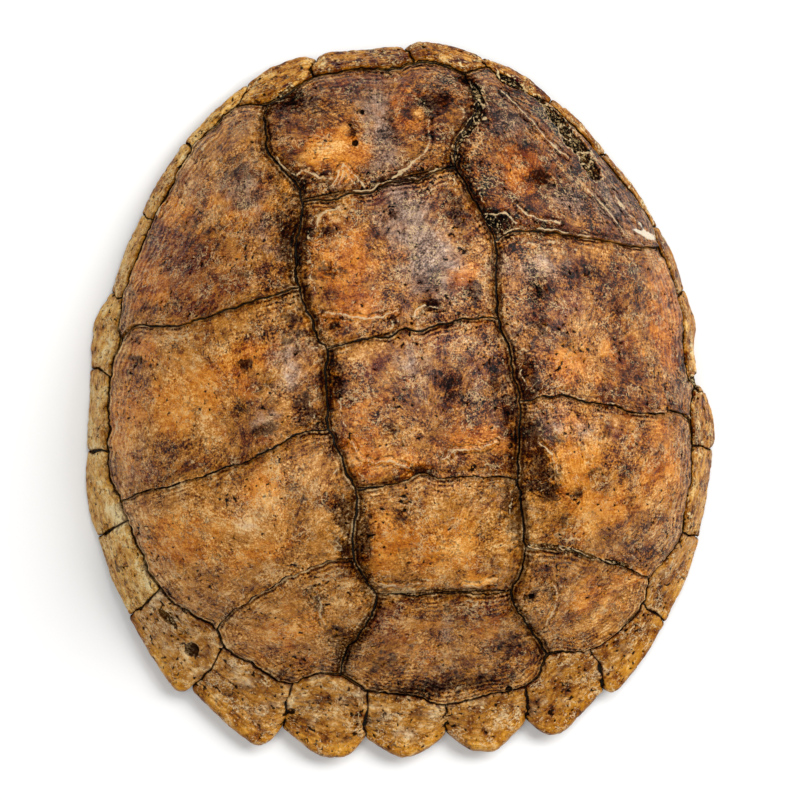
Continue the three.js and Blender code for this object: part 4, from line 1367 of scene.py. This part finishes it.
@dataclass
class Backbone:
    """The row of vertebrae under the plate, grown to it by two rib heads at every joint."""

    vertebrae: int = 9
    front: float = 108.0
    rear: float = -104.0
    depth: float = 8.2  # of its axis below the plate's upper face, mm
    radius: float = 4.0
    waist: float = 0.20  # how much thinner each vertebra is at its middle
    head_span: float = 17.0  # how far a rib head reaches to the side, mm
    head_radius: float = 1.9
    seed: int = 7

    def path(self, dome: Dome) -> Piece:
        """Builds the line that the column follows.

        Args:
            dome: The surface that the plate follows.

        Returns:
            Its object, with a mesh of edges.
        """
        y = np.linspace(self.front, self.rear, 90)
        t, angle = dome.place_over(np.column_stack([0 * y + 1e-3, y]))
        places = dome.spot(t, angle, 180.0, BONE_TOP + self.depth, self.depth)
        mesh = bpy.data.meshes.new("backbone")
        mesh.from_pydata(places * MM, [(i, i + 1) for i in range(len(y) - 1)], [])
        return put_in_scene("backbone", mesh)

    def tree(self) -> tuple[Tree, dict[str, str]]:
        """Builds the node tree that sweeps the column and sets the rib heads along it.

        Returns:
            The tree, and the identifier of each of its named inputs.
        """
        made = bpy.data.node_groups.new("backbone", "GeometryNodeTree")
        kinds = {"Path": "Geometry", "Vertebrae": "Int", "Radius": "Float", "Waist": "Float"}
        kinds |= {"Head Span": "Float", "Head Radius": "Float", "Seed": "Int", "Finish": "Material"}
        new_socket = made.interface.new_socket
        names = {
            name: new_socket(name, in_out="INPUT", socket_type=f"NodeSocket{kind}").identifier
            for name, kind in kinds.items()
        }
        new_socket("Bone", in_out="OUTPUT", socket_type="NodeSocketGeometry")
        given = {socket.name: socket for socket in add_node(made, "NodeGroupInput").outputs}
        line = add_node(made, "GeometryNodeMeshToCurve", {"Mesh": given["Path"]}).outputs["Curve"]
        column = self.column(made, given, line)
        heads = self.heads(made, given, line)
        joined = add_node(made, "GeometryNodeJoinGeometry")
        for part in (column, heads):
            made.links.new(part, joined.inputs[0])
        solid = add_node(made, "GeometryNodeRealizeInstances", {"Geometry": joined.outputs[0]}).outputs[0]
        smooth = add_node(made, "GeometryNodeSetShadeSmooth", {"Geometry": solid}).outputs[0]
        dressed = {"Geometry": smooth, "Material": given["Finish"]}
        dressed = add_node(made, "GeometryNodeSetMaterial", dressed)
        add_node(made, "NodeGroupOutput", {"Bone": dressed.outputs[0]})
        return made, names

    @staticmethod
    def column(tree: Tree, given: dict[str, Socket], line: Socket) -> Socket:
        """Sweeps the vertebrae: thick at their joints, waisted between.

        Args:
            tree: The tree.
            given: Its inputs.
            line: The line along the column.

        Returns:
            Their mesh.
        """
        count = {0: given["Vertebrae"], 1: 12.0, 2: 1.0}
        points = add_node(tree, "ShaderNodeMath", count, operation="MULTIPLY_ADD")
        dense = add_node(tree, "GeometryNodeResampleCurve", {"Curve": line, "Count": points.outputs[0]})
        share = add_node(tree, "GeometryNodeSplineParameter").outputs["Factor"]
        turns = {0: share, 1: given["Vertebrae"]}
        turns = add_node(tree, "ShaderNodeMath", turns, operation="MULTIPLY").outputs[0]
        angle = add_node(tree, "ShaderNodeMath", {0: turns, 1: TURN}, operation="MULTIPLY").outputs[0]
        wave = add_node(tree, "ShaderNodeMath", {0: angle}, operation="COSINE").outputs[0]
        thick = {0: wave, 1: given["Waist"], 2: 1.0}
        thick = add_node(tree, "ShaderNodeMath", thick, operation="MULTIPLY_ADD")
        ring = {"Resolution": 20, "Radius": given["Radius"]}
        ring = add_node(tree, "GeometryNodeCurvePrimitiveCircle", ring)
        swept = {"Curve": dense.outputs[0], "Profile Curve": ring.outputs[0], "Scale": thick.outputs[0]}
        return add_node(tree, "GeometryNodeCurveToMesh", {**swept, "Fill Caps": True}).outputs["Mesh"]

    @staticmethod
    def heads(tree: Tree, given: dict[str, Socket], line: Socket) -> Socket:
        """Sets one arched pair of rib heads at every joint of the column.

        Args:
            tree: The tree.
            given: Its inputs.
            line: The line along the column.

        Returns:
            Their instances.
        """
        span = given["Head Span"]
        left = add_node(tree, "ShaderNodeMath", {0: span, 1: -1.0}, operation="MULTIPLY").outputs[0]
        high = add_node(tree, "ShaderNodeMath", {0: span, 1: 0.42}, operation="MULTIPLY").outputs[0]
        ends = [
            add_node(tree, "ShaderNodeCombineXYZ", {"X": x, "Z": high}).outputs[0] for x in (left, span)
        ]
        low = add_node(tree, "ShaderNodeMath", {0: high, 1: -0.9}, operation="MULTIPLY").outputs[0]
        middle = add_node(tree, "ShaderNodeCombineXYZ", {"Z": low}).outputs[0]
        arch = {"Resolution": 20, "Start": ends[0], "Middle": middle, "End": ends[1]}
        arch = add_node(tree, "GeometryNodeCurveQuadraticBezier", arch).outputs[0]
        ring = {"Resolution": 12, "Radius": given["Head Radius"]}
        ring = add_node(tree, "GeometryNodeCurvePrimitiveCircle", ring)
        pair = {"Curve": arch, "Profile Curve": ring.outputs[0], "Scale": 1.0, "Fill Caps": True}
        pair = add_node(tree, "GeometryNodeCurveToMesh", pair).outputs["Mesh"]
        joints = {0: given["Vertebrae"], 1: 1.0}
        joints = add_node(tree, "ShaderNodeMath", joints, operation="ADD").outputs[0]
        spaced_out = add_node(tree, "GeometryNodeCurveToPoints", {"Curve": line, "Count": joints})
        size = {2: 0.88, 3: 1.1, "Seed": given["Seed"]}
        size = add_node(tree, "FunctionNodeRandomValue", size, data_type="FLOAT").outputs[1]
        placed = {"Points": spaced_out.outputs["Points"], "Instance": pair, "Scale": size}
        return add_node(tree, "GeometryNodeInstanceOnPoints", placed).outputs["Instances"]

    def build(self, dome: Dome, material: bpy.types.Material) -> Piece:
        """Builds the column.

        Args:
            dome: The surface that the plate follows.
            material: The bone's finish.

        Returns:
            The column's object, with its own mesh.
        """
        path = self.path(dome)
        tree, names = self.tree()
        grower = path.modifiers.new("backbone", "NODES")
        grower.node_group = tree
        given = {
            "Vertebrae": self.vertebrae, "Radius": self.radius * MM, "Waist": self.waist, "Seed": self.seed,
            "Head Span": self.head_span * MM, "Head Radius": self.head_radius * MM, "Finish": material,
        }
        for name, value in given.items():
            grower[names[name]] = value
        grown = path.evaluated_get(bpy.context.evaluated_depsgraph_get())
        mesh = bpy.data.meshes.new_from_object(grown)
        path.modifiers.remove(grower)
        path.data = mesh
        return path


# ---- finishes -------------------------------------------------------------------------------------
# Colours from the darkest tone to the palest
ORANGE_SHADES = ("#70390E", "#A65E1E", "#CA7C30", "#DE9846", "#F0BC76")
# Grey-violet shades, mostly a painted reflection of the light on the gloss
SHEEN_AND_GREY_SHADES = ("#33261F", "#6E594C", "#99806F", "#B99E8C", "#DCC5B2")
RED_SHADES = ("#2C1204", "#5E2F0E", "#8A5022", "#B0753C", "#D6A26C")
BLOT_SHADES = ("#1C110A", "#362315", "#533B26", "#75593E", "#A98F6C")
CAVITY_SHADES = ("#120B06", "#2B1C11", "#49341F", "#6E5437", "#A88D66")
CRACK_SHADES = ("#050302", "#0C0805", "#18100A", "#3A2A1C", "#8A7354")
COAT_TURN = 9  # number of the first coat's noise


def linear(code: str) -> Colour:
    """Turns an sRGB hex colour into linear RGBA."""
    values = [int(code[i : i + 2], 16) / 255 for i in (1, 3, 5)]
    return *(v / 12.92 if v <= 0.04045 else ((v + 0.055) / 1.055) ** 2.4 for v in values), 1.0


def add_node(tree: Tree, kind: str, links: dict | None = None, **settings: str) -> bpy.types.Node:
    """Adds a node with its settings and links.

    Args:
        tree: The tree that it goes in.
        kind: Its type.
        links: For an input's name or number, what it is linked to or set to.
        **settings: The node's own settings.

    Returns:
        The node.
    """
    made = tree.nodes.new(kind)
    for key, value in settings.items():
        setattr(made, key, value)
    for key, value in (links or {}).items():
        if isinstance(value, bpy.types.NodeSocket):
            tree.links.new(value, made.inputs[key])
        else:
            made.inputs[key].default_value = value
    return made


@dataclass(frozen=True)
class Grain:
    """One size of mottling: its cell in mm, its weight, and its stretch if it follows the growth."""

    cell: float
    weight: float = 1.0
    stretch: tuple[float, float, float] | None = None
    detail: float = 4.0
    rough: float = 0.6
    patchy: float = 0.0  # size of the areas where it comes and goes, mm
    curly: bool = False  # thin curly lines instead of spots
    rings: bool = False  # small rings instead of spots

    def value(self, tree: Tree, spots: Socket, grain: Socket, turn: int) -> Socket:
        """Adds its noise.

        Args:
            tree: The material's tree.
            spots: Object coordinates in mm.
            grain: Coordinates along the growth.
            turn: Its number, which shifts the noise.

        Returns:
            The noise, about 0.5.
        """
        where, scale = spots, 1 / self.cell
        if self.stretch:
            turned = {0: grain, 1: self.stretch}
            where = add_node(tree, "ShaderNodeVectorMath", turned, operation="MULTIPLY").outputs[0]
            scale = 1.0
        moved = {0: where, 1: (3.7 * turn * self.cell, 5.3 * self.cell, 1.9 * turn)}
        where = add_node(tree, "ShaderNodeVectorMath", moved, operation="ADD").outputs[0]
        noise = {"Vector": where, "Scale": scale}
        if self.rings:
            value = add_node(tree, "ShaderNodeTexVoronoi", noise).outputs["Distance"]
            value = self.thinned(tree, value, 0.3)
        else:
            noise |= {"Detail": self.detail, "Roughness": self.rough, "Distortion": 0.3}
            value = add_node(tree, "ShaderNodeTexNoise", noise).outputs["Fac"]
        if self.curly:
            value = self.thinned(tree, value, 0.5)
        if not self.patchy:
            return value
        areas = {"Vector": spots, "Scale": 1 / self.patchy, "Detail": 3.0}
        areas = add_node(tree, "ShaderNodeTexNoise", areas).outputs["Fac"]
        share = {"Value": areas, "From Min": 0.42, "From Max": 0.60, "To Min": 0.3}
        share = add_node(tree, "ShaderNodeMapRange", share, interpolation_type="SMOOTHSTEP").outputs[0]
        off = add_node(tree, "ShaderNodeMath", {0: value, 1: -0.5}, operation="ADD").outputs[0]
        faded = {0: off, 1: share, 2: 0.5}
        return add_node(tree, "ShaderNodeMath", faded, operation="MULTIPLY_ADD").outputs[0]

    @staticmethod
    def thinned(tree: Tree, value: Socket, level: float) -> Socket:
        """Turns a noise into thin lines.

        Args:
            tree: The tree.
            value: The noise.
            level: Its value along the lines.

        Returns:
            The lines, 1 at their middle.
        """
        off = add_node(tree, "ShaderNodeMath", {0: value, 1: level}, operation="SUBTRACT").outputs[0]
        size = add_node(tree, "ShaderNodeMath", {0: off}, operation="ABSOLUTE").outputs[0]
        line = {0: size, 1: -6.0, 2: 1.0}
        return add_node(tree, "ShaderNodeMath", line, operation="MULTIPLY_ADD").outputs[0]


@dataclass(frozen=True)
class Coat:
    """Colours laid over what is below them, where a noise and an attribute together pass a cut."""

    colours: tuple[str, ...]  # one, or five from the darkest tone to the palest
    grain: Grain
    cut: tuple[float, float]  # where it starts, and where it covers
    cover: float = 1.0  # how much it covers
    gather: tuple[tuple[str, float], ...] = ()  # attributes that gather it, and how strongly


def damage(cover: float) -> tuple[Coat, ...]:
    """Coats of dirt: black in cracks, brown with pale crumbs where horn is broken out.

    Args:
        cover: How much the black dirt covers.

    Returns:
        The coats, from the lowest.
    """
    return (
        Coat(CRACK_SHADES, Grain(1.6), (0.75, 1.05), cover, (("crack", 0.9),)),
        Coat(CAVITY_SHADES, Grain(1.6), (0.75, 0.95), 0.97, (("broken", 0.9),)),
        Coat(("#B4986C",), Grain(1.6, rough=0.75), (1.13, 1.22), 0.85, (("broken", 0.6),)),
    )


def weighted_sum(tree: Tree, start: Socket | float, terms: list[tuple[Socket, float]]) -> Socket:
    """Adds weighted values to a first one.

    Args:
        tree: The tree.
        start: The first value.
        terms: Values and their weights.

    Returns:
        The sum.
    """
    for value, weight in terms:
        parts = {0: value, 1: weight, 2: start}
        start = add_node(tree, "ShaderNodeMath", parts, operation="MULTIPLY_ADD").outputs[0]
    return start


@dataclass(frozen=True)
class Finish:
    """A material: mottled ground colours, coats over them, and how the surface takes light."""

    name: str
    ground: tuple[str, ...]  # five colours, from the darkest tone to the palest
    mottle: tuple[Grain, ...]
    coats: tuple[Coat, ...]
    roughness: tuple[float, float]
    bump: float  # height of the fine bump, mm
    bump_cell: float = 0.8
    ior: float = 1.54
    gloss: float = 0.3  # how much it mirrors where it is clean; dirt is matt
    haze: float = 0.024  # white that the gloss lays over every colour, taken off the colours here
    stops = (0.0, 0.25, 0.5, 0.75, 1.0)

    def under_gloss(self, code: str) -> Colour:
        """The colour that looks like the code once the gloss lies over it."""
        *values, alpha = linear(code)
        return *(max(0.0015, value - self.haze) for value in values), alpha

    def shades(self, tree: Tree, colours: tuple[str, ...], tone: Socket) -> Socket | Colour:
        """Adds a ramp of colours over the tone, or takes a single colour as it is.

        Args:
            tree: The tree.
            colours: One colour, or one for each stop of the ramp.
            tone: How pale the horn is, 0 to 1.

        Returns:
            The colour.
        """
        if len(colours) == 1:
            return self.under_gloss(colours[0])
        ramp = add_node(tree, "ShaderNodeValToRGB", {"Fac": tone})
        while len(ramp.color_ramp.elements) < len(colours):
            ramp.color_ramp.elements.new(0.5)
        for element, stop, code in zip(ramp.color_ramp.elements, self.stops, colours):
            element.position, element.color = stop, self.under_gloss(code)
        return ramp.outputs["Color"]

    @staticmethod
    def pulled(tree: Tree, start: Socket, pulls: tuple[tuple[str, float], ...]) -> Socket:
        """Adds weighted mesh attributes to a value.

        Args:
            tree: The tree.
            start: The value.
            pulls: Names of the attributes and their weights.

        Returns:
            The sum.
        """
        terms = [
            (add_node(tree, "ShaderNodeAttribute", attribute_name=name).outputs["Fac"], pull)
            for name, pull in pulls
        ]
        return weighted_sum(tree, start, terms)

    def colour(self, tree: Tree, spots: Socket, grain: Socket, tone: Socket) -> Socket:
        """Adds the ground's colours and the coats over them.

        Args:
            tree: The material's tree.
            spots: Object coordinates in mm.
            grain: Coordinates along the growth.
            tone: How pale the horn is, 0 to 1.

        Returns:
            The colour.
        """
        colour = self.shades(tree, self.ground, tone)
        for i, coat in enumerate(self.coats):
            value = self.pulled(tree, coat.grain.value(tree, spots, grain, i + COAT_TURN), coat.gather)
            start, full = coat.cut
            cut = {"Value": value, "From Min": start, "From Max": full, "To Max": coat.cover}
            mask = add_node(tree, "ShaderNodeMapRange", cut, interpolation_type="SMOOTHSTEP").outputs[0]
            layers = {"Factor": mask, 6: colour, 7: self.shades(tree, coat.colours, tone)}
            colour = add_node(tree, "ShaderNodeMix", layers, data_type="RGBA").outputs[2]
        return colour

    def clean(self, tree: Tree, tone: Socket) -> Socket:
        """Adds how much the surface mirrors: less where it is dark, and not at all in the dirt.

        Args:
            tree: The tree.
            tone: How pale the horn is, 0 to 1.

        Returns:
            The level of its gloss.
        """
        shine = {"Value": tone, "From Min": 0.1, "From Max": 0.6}
        shine |= {"To Min": 0.4 * self.gloss, "To Max": self.gloss}
        shine = add_node(tree, "ShaderNodeMapRange", shine).outputs[0]
        dirt = {"crack": -0.95, "grime": -0.95, "broken": -0.95, "dark": -0.4}
        left = self.pulled(tree, shine, tuple((name, pull * self.gloss) for name, pull in dirt.items()))
        return add_node(tree, "ShaderNodeMath", {0: left, 1: 0.0}, operation="MAXIMUM").outputs[0]

    def make(self) -> bpy.types.Material:
        """Makes the material.

        Returns:
            The material, with all its nodes.
        """
        material = bpy.data.materials.new(self.name)
        material.use_nodes = True
        tree = material.node_tree
        tree.nodes.clear()
        scaled = {0: add_node(tree, "ShaderNodeTexCoord").outputs["Object"], "Scale": 1 / MM}
        spots = add_node(tree, "ShaderNodeVectorMath", scaled, operation="SCALE").outputs[0]
        grain = add_node(tree, "ShaderNodeAttribute", attribute_name="grain").outputs["Vector"]
        even = 0.5 - sum(part.weight for part in self.mottle) / 2
        mottle = [(part.value(tree, spots, grain, i), part.weight) for i, part in enumerate(self.mottle)]
        tone = self.pulled(tree, weighted_sum(tree, even, mottle), (("tone", 1.0),))
        sheen = add_node(tree, "ShaderNodeTexNoise", {"Vector": spots, "Scale": 0.3, "Detail": 5.0})
        limits = {"Value": sheen.outputs["Fac"], "From Min": 0.35, "From Max": 0.65}
        limits |= {"To Min": self.roughness[0], "To Max": self.roughness[1]}
        grit = {"Vector": spots, "Scale": 1 / self.bump_cell, "Detail": 5.0, "Roughness": 0.65}
        fine = add_node(tree, "ShaderNodeTexNoise", grit).outputs["Fac"]
        height = weighted_sum(tree, tone, [(fine, 2.0)])
        raised = {"Height": height, "Distance": self.bump * MM, "Strength": 1.0}
        shader = {
            "Base Color": self.colour(tree, spots, grain, tone),
            "Roughness": add_node(tree, "ShaderNodeMapRange", limits).outputs[0],
            "Normal": add_node(tree, "ShaderNodeBump", raised).outputs["Normal"],
            "IOR": self.ior,
            "Specular IOR Level": self.clean(tree, tone),
        }
        made = add_node(tree, "ShaderNodeBsdfPrincipled", shader)
        add_node(tree, "ShaderNodeOutputMaterial", {"Surface": made.outputs["BSDF"]})
        return material


# Old horn of the back: dried keratin, grown in thin layers and worn. Mottled brown, glossy where handled,
# with light grit in the pores, dark stains, and black dirt in the seams. Its grey-violet patches are mostly
# a painted reflection of the overhead light. Beside the seams it darkens with dirt and painted shade. Its
# pale rings are painted highlights on pit rims, and its pale edges are worn horn with a painted highlight.
HORN_BACK = Finish(
    "aged_keratin_of_the_back", ("#241207", "#673B17", "#A0682E", "#C58742", "#E6BC80"),
    (
        Grain(20.0, 0.9, detail=3.0), Grain(7.0, 1.1), Grain(2.6, 0.85, rough=0.7),
        Grain(0.9, 1.75, detail=2.0, patchy=13.0), Grain(0.55, 0.7, detail=1.0),
        Grain(1.0, 0.5, (3.0, 3.0, 0.7)), Grain(1.0, 0.9, (26.0, 26.0, 0.13)),
    ),
    (
        Coat(RED_SHADES, Grain(13.0), (0.56, 0.80), 0.85, (("red", 0.35),)),
        Coat(ORANGE_SHADES, Grain(9.0), (0.56, 0.84), 0.92, (("orange", 0.36),)),
        # Grey-violet coat: mostly a painted reflection of the overhead light
        Coat(SHEEN_AND_GREY_SHADES, Grain(8.0, rough=0.7), (0.62, 1.02), 0.85, (("grey", 0.38),)),
        Coat(("#D8B684",), Grain(3.0, detail=3.0, patchy=9.0, curly=True), (0.78, 0.97), 0.68),
        Coat(("#2A1A10",), Grain(3.6, detail=3.0, patchy=12.0, curly=True), (0.78, 0.97), 0.6),
        # Pale rings: painted highlights on the rims of small pits
        Coat(("#D0AE7E",), Grain(2.1, patchy=14.0, rings=True), (0.66, 0.96), 0.68),
        Coat(BLOT_SHADES, Grain(3.6, rough=0.68), (0.60, 0.76), 0.88, (("dark", 0.22),)),
        Coat(("#C4A67C",), Grain(1.1, detail=3.0, patchy=10.0), (0.67, 0.76), 0.6, (("dark", 0.05),)),
        Coat(("#E2C594",), Grain(1.0, detail=2.0, patchy=11.0), (0.64, 0.73), 0.6),
        Coat(("#22160E",), Grain(1.0, detail=2.0), (0.63, 0.71), 0.6, (("dark", 0.05),)),
        Coat(("#DDD0B8",), Grain(2.0), (0.9, 1.15), 0.9, (("bone", 0.75),)),
        # Darker by the seams and under flakes: dirt and painted shade
        Coat(BLOT_SHADES, Grain(2.2), (0.62, 0.95), 0.85, (("grime", 0.75),)),
        *damage(0.97),
        # Pale edges: worn horn, partly a painted highlight
        Coat(("#CCB086",), Grain(1.4), (0.82, 1.10), 0.85, (("lip", 0.75),)),
    ),
    (0.25, 0.5), 0.11, gloss=0.42,
)

# Horn of the rim over the bridge and the front: thinner, bleached by light to straw, and painted more
# orange towards the rim as a glow of light through the thin horn.
HORN_STRAW = Finish(
    "bleached_keratin_of_the_rim", ("#4A2607", "#9C621C", "#CC9242", "#E2B260", "#F2D8A0"),
    (
        Grain(9.0, 1.2, detail=3.0), Grain(3.4, 1.3), Grain(0.9, 1.7, detail=3.0, rough=0.7, patchy=9.0),
        Grain(1.0, 1.1, (0.14, 0.8, 0.0)),
    ),
    (
        # More orange towards the rim: a painted glow of light through the thin horn
        Coat(
            ("#7A4719", "#9A6026", "#B87C38", "#CA944C", "#E0BA7C"),
            Grain(4.0), (0.62, 0.9), 0.8, (("glow", 0.22),),
        ),
        Coat(("#3A2410", "#6A4520", "#8E6636", "#A98452", "#CBB084"), Grain(5.0), (0.55, 0.67), 0.65),
        Coat(("#E8CD92",), Grain(4.0, detail=3.0, patchy=9.0, curly=True), (0.76, 0.96), 0.6),
        Coat(BLOT_SHADES, Grain(2.6, rough=0.7), (0.60, 0.68), 0.85, (("dark", 0.12),)),
        Coat(("#EBD49C",), Grain(1.1, detail=2.0), (0.60, 0.69), 0.6),
        Coat(("#3A2412",), Grain(1.0, detail=2.0), (0.62, 0.70), 0.7),
        # Darker by the seams: dirt and painted shade
        Coat(("#6A4421",), Grain(2.2), (0.62, 0.95), 0.8, (("grime", 0.7),)),
        *damage(0.95),
        # Pale edges: worn horn, partly a painted highlight
        Coat(("#E4CC98",), Grain(1.6), (0.8, 1.05), 0.8, (("lip", 0.75),)),
    ),
    (0.38, 0.62), 0.10,
)

# Horn of the toothed rear rim: thicker, ochre and translucent, with a painted glow of light through it that
# brightens it towards its edge.
HORN_OCHRE = Finish(
    "ochre_keratin_of_the_rear_rim", ("#2E1808", "#7A481A", "#A87030", "#C68E48", "#E4BF88"),
    (
        Grain(11.0, 1.3, detail=3.0), Grain(4.0, 1.4), Grain(0.95, 1.7, detail=3.0, rough=0.7, patchy=9.0),
        Grain(1.0, 0.9, (0.3, 0.7, 0.0)),
    ),
    (
        # Less of this grey-brown towards the rim, as part of the painted glow there
        Coat(
            ("#2C1B10", "#5E4330", "#8A6A4E", "#AC8C6C", "#D2B896"),
            Grain(8.0), (0.46, 0.66), 0.7, (("glow", -0.22),),
        ),
        # Brighter orange towards the rim: a painted glow of light through the translucent horn
        Coat(
            ("#6A3A0E", "#9A601E", "#BA7C28", "#CE9238", "#E4B468"),
            Grain(4.0), (0.58, 0.95), 0.9, (("glow", 0.44),),
        ),
        Coat(("#E0C498",), Grain(4.0, detail=3.0, patchy=9.0, curly=True), (0.76, 0.96), 0.65),
        Coat(BLOT_SHADES, Grain(3.4, rough=0.7), (0.59, 0.69), 0.85, (("dark", 0.12),)),
        Coat(("#E2C89C",), Grain(1.0, detail=2.0), (0.61, 0.70), 0.65),
        Coat(("#24160C",), Grain(1.0, detail=2.0), (0.61, 0.69), 0.75),
        # Darker by the seams: dirt and painted shade
        Coat(("#4A2F18",), Grain(2.2), (0.62, 0.95), 0.85, (("grime", 0.7),)),
        *damage(0.95),
        # Pale edges: worn horn, partly a painted highlight
        Coat(("#DEC292",), Grain(1.6), (0.8, 1.05), 0.8, (("lip", 0.75),)),
    ),
    (0.32, 0.56), 0.10,
)

# Dried bone: pale, dull and finely porous, with brown grease stains and dirt in its sutures.
DRY_BONE = Finish(
    "dry_bone", ("#6E5639", "#A88F68", "#C6B48E", "#D6C8A6", "#EAE0C6"),
    (Grain(14.0, 1.2), Grain(4.0, 0.9), Grain(0.9, 0.9, detail=3.0)),
    (
        Coat(("#5B452E",), Grain(0.9), (0.61, 0.69), 0.6),
        Coat(("#4A3624",), Grain(2.0), (0.66, 0.9), 0.8, (("relief", -0.6),)),
        Coat(("#120C08",), Grain(2.0), (0.6, 0.9), 0.97, (("upper", 1.0),)),
    ),
    (0.6, 0.85), 0.12, ior=1.56,
)


# ---- studio ---------------------------------------------------------------------------------------
@dataclass(frozen=True)
class Studio:
    """Pale floor, soft lights and the camera that looks down on the shell."""

    distance: float = 1.4
    tilt: float = 5.7  # of the view from straight down, towards -X, degrees
    roll: float = 7.37
    target: tuple[float, float, float] = (0.00194, 0.00156, 0.0)
    field_width: float = 0.33704  # seen at the target
    sensor: float = 36.0  # the camera's, mm
    floor_half: float = 3.0
    floor_depth: float = 0.0003
    daylight: float = 0.14
    lamps = (  # name, place, side in metres, power in watts
        ("key", (2.0, 0.8, 2.1), 1.6, 66.0),
        ("front", (0.6, 1.5, 2.5), 1.2, 34.0),
        ("fill", (-0.8, -0.5, 2.7), 2.4, 40.0),
    )

    def camera(self) -> None:
        """Sets up the camera."""
        tilt, roll = math.radians(self.tilt), math.radians(self.roll)
        back = Vector((-math.sin(tilt), 0.0, math.cos(tilt)))
        right = Vector((math.cos(roll), -math.sin(roll), 0.0))
        right = (right - right.dot(back) * back).normalized()
        up = back.cross(right)
        data = bpy.data.cameras.new("camera")
        data.sensor_width = self.sensor
        data.lens = self.sensor * self.distance / self.field_width
        made = put_in_scene("camera", data)
        turned = Matrix((right, up, back)).transposed().to_4x4()
        turned.translation = Vector(self.target) + back * self.distance
        made.matrix_world = turned
        bpy.context.scene.camera = made

    def lamp(self, name: str, place: tuple[float, float, float], size: float, power: float) -> None:
        """Adds a soft square lamp that faces the shell.

        Args:
            name: Its name.
            place: Where it hangs, metres.
            size: Length of its side, metres.
            power: Its power, watts.
        """
        data = bpy.data.lights.new(name, "AREA")
        data.size, data.energy = size, power
        made = put_in_scene(name, data)
        made.location = place
        made.rotation_euler = (-Vector(place)).to_track_quat("-Z", "Y").to_euler()

    def floor(self) -> None:
        """Lays a pale floor, matt like painted board."""
        half = self.floor_half
        mesh = bpy.data.meshes.new("floor")
        plan = ((-half, -half), (half, -half), (half, half), (-half, half))
        corners = [(x, y, -self.floor_depth) for x, y in plan]
        mesh.from_pydata(corners, [], [(0, 1, 2, 3)])
        made = put_in_scene("floor", mesh)
        whites = ("#EDEDEC", "#EEEEED", "#EFEFEE", "#F0F0EF", "#F1F1F0")
        board = Finish("painted_board", whites, (Grain(80.0, 0.5),), (), (0.8, 0.9), 0.01, 3.0, haze=0.0)
        made.data.materials.append(board.make())
        made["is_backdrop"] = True

    def build(self) -> None:
        """Builds the whole studio."""
        self.camera()
        self.floor()
        for name, place, size, power in self.lamps:
            self.lamp(name, place, size, power)
        world = bpy.data.worlds.new("studio")
        world.use_nodes = True
        light = world.node_tree.nodes["Background"].inputs
        light["Color"].default_value = (1.0, 1.0, 1.0, 1.0)
        light["Strength"].default_value = self.daylight
        bpy.context.scene.world = world
        bpy.context.scene.view_settings.view_transform = "Standard"


# ---- assembly -------------------------------------------------------------------------------------
@dataclass
class TurtleShell:
    """The whole shell: bone, five vertebral scutes, eight costal scutes and the ring round them."""

    dome: Dome = field(default_factory=Dome)
    seams: SeamNet = field(default_factory=SeamNet)

    def fit(self, piece: Piece, node: str, material: bpy.types.Material) -> None:
        """Puts a piece in its node's place.

        Args:
            piece: The piece.
            node: The CAD node that it stands for.
            material: Its finish.
        """
        if not piece.data.materials:
            piece.data.materials.append(material)
        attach(piece, "root")
        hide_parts(node)
        LOG.info("%s: %d triangles, %s", piece.name, len(piece.data.polygons), material.name)

    def build_bone(self) -> None:
        """Builds the bone."""
        bone = DRY_BONE.make()
        self.fit(BonyCarapace().plate(self.dome), "bony_carapace", bone)
        self.fit(Backbone().build(self.dome, bone), "bony_carapace", bone)

    def build_back(self) -> None:
        """Builds the vertebral and the costal scutes."""
        horn = HORN_BACK.make()
        for i in range(len(VERTEBRAL_SEAMS) + 1):
            hub = REAR_HUB if i == len(VERTEBRAL_SEAMS) else VERTEBRAL_HUB
            name = f"vertebral_scute_{i + 1}"
            scute = InnerScute(name, self.seams.vertebral(i), hub, VERTEBRAL_SEED + i, *VERTEBRAL_LOOKS[i])
            self.fit(scute.build(self.dome), name, horn)
        for side, hub in COSTAL_HUBS.items():
            for i in range(len(COSTAL_SEAMS[side]) + 1):
                name = f"costal_scute_{side}_{i + 1}"
                outline = self.seams.costal_scute(side, i)
                scute = InnerScute(name, outline, hub, COSTAL_SEED + i, *COSTAL_LOOKS[side][i])
                self.fit(scute.build(self.dome), name, horn)

    def build_ring(self) -> None:
        """Builds the cervical and the marginal scutes."""
        straw, ochre = HORN_STRAW.make(), HORN_OCHRE.make()
        for i, (name, follower) in enumerate(FOLLOWERS.items()):
            ring = self.seams.ring.part(RING[name][0], RING[follower][0])
            scute = RimScute(name, ring, self.dome.rims[name], RING_SEED + i, RIM_TONES_WITH_PAINTED_SHADE[name])
            rear = one_of(name, REAR_SCUTES)
            slot, material = ("horn_rim_ochre", ochre) if rear else ("horn_rim_straw", straw)
            self.fit(scute.build(self.dome), name, material)


def main() -> None:
    """Builds the studio and the shell."""
    logging.basicConfig(level=logging.INFO, format="%(name)s %(message)s")
    Studio().build()
    shell = TurtleShell()
    shell.build_bone()
    shell.build_back()
    shell.build_ring()
    total = sum(len(piece.data.polygons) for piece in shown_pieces())
    LOG.info("%d triangles in all", total)


if __name__ == "__main__":
    main()
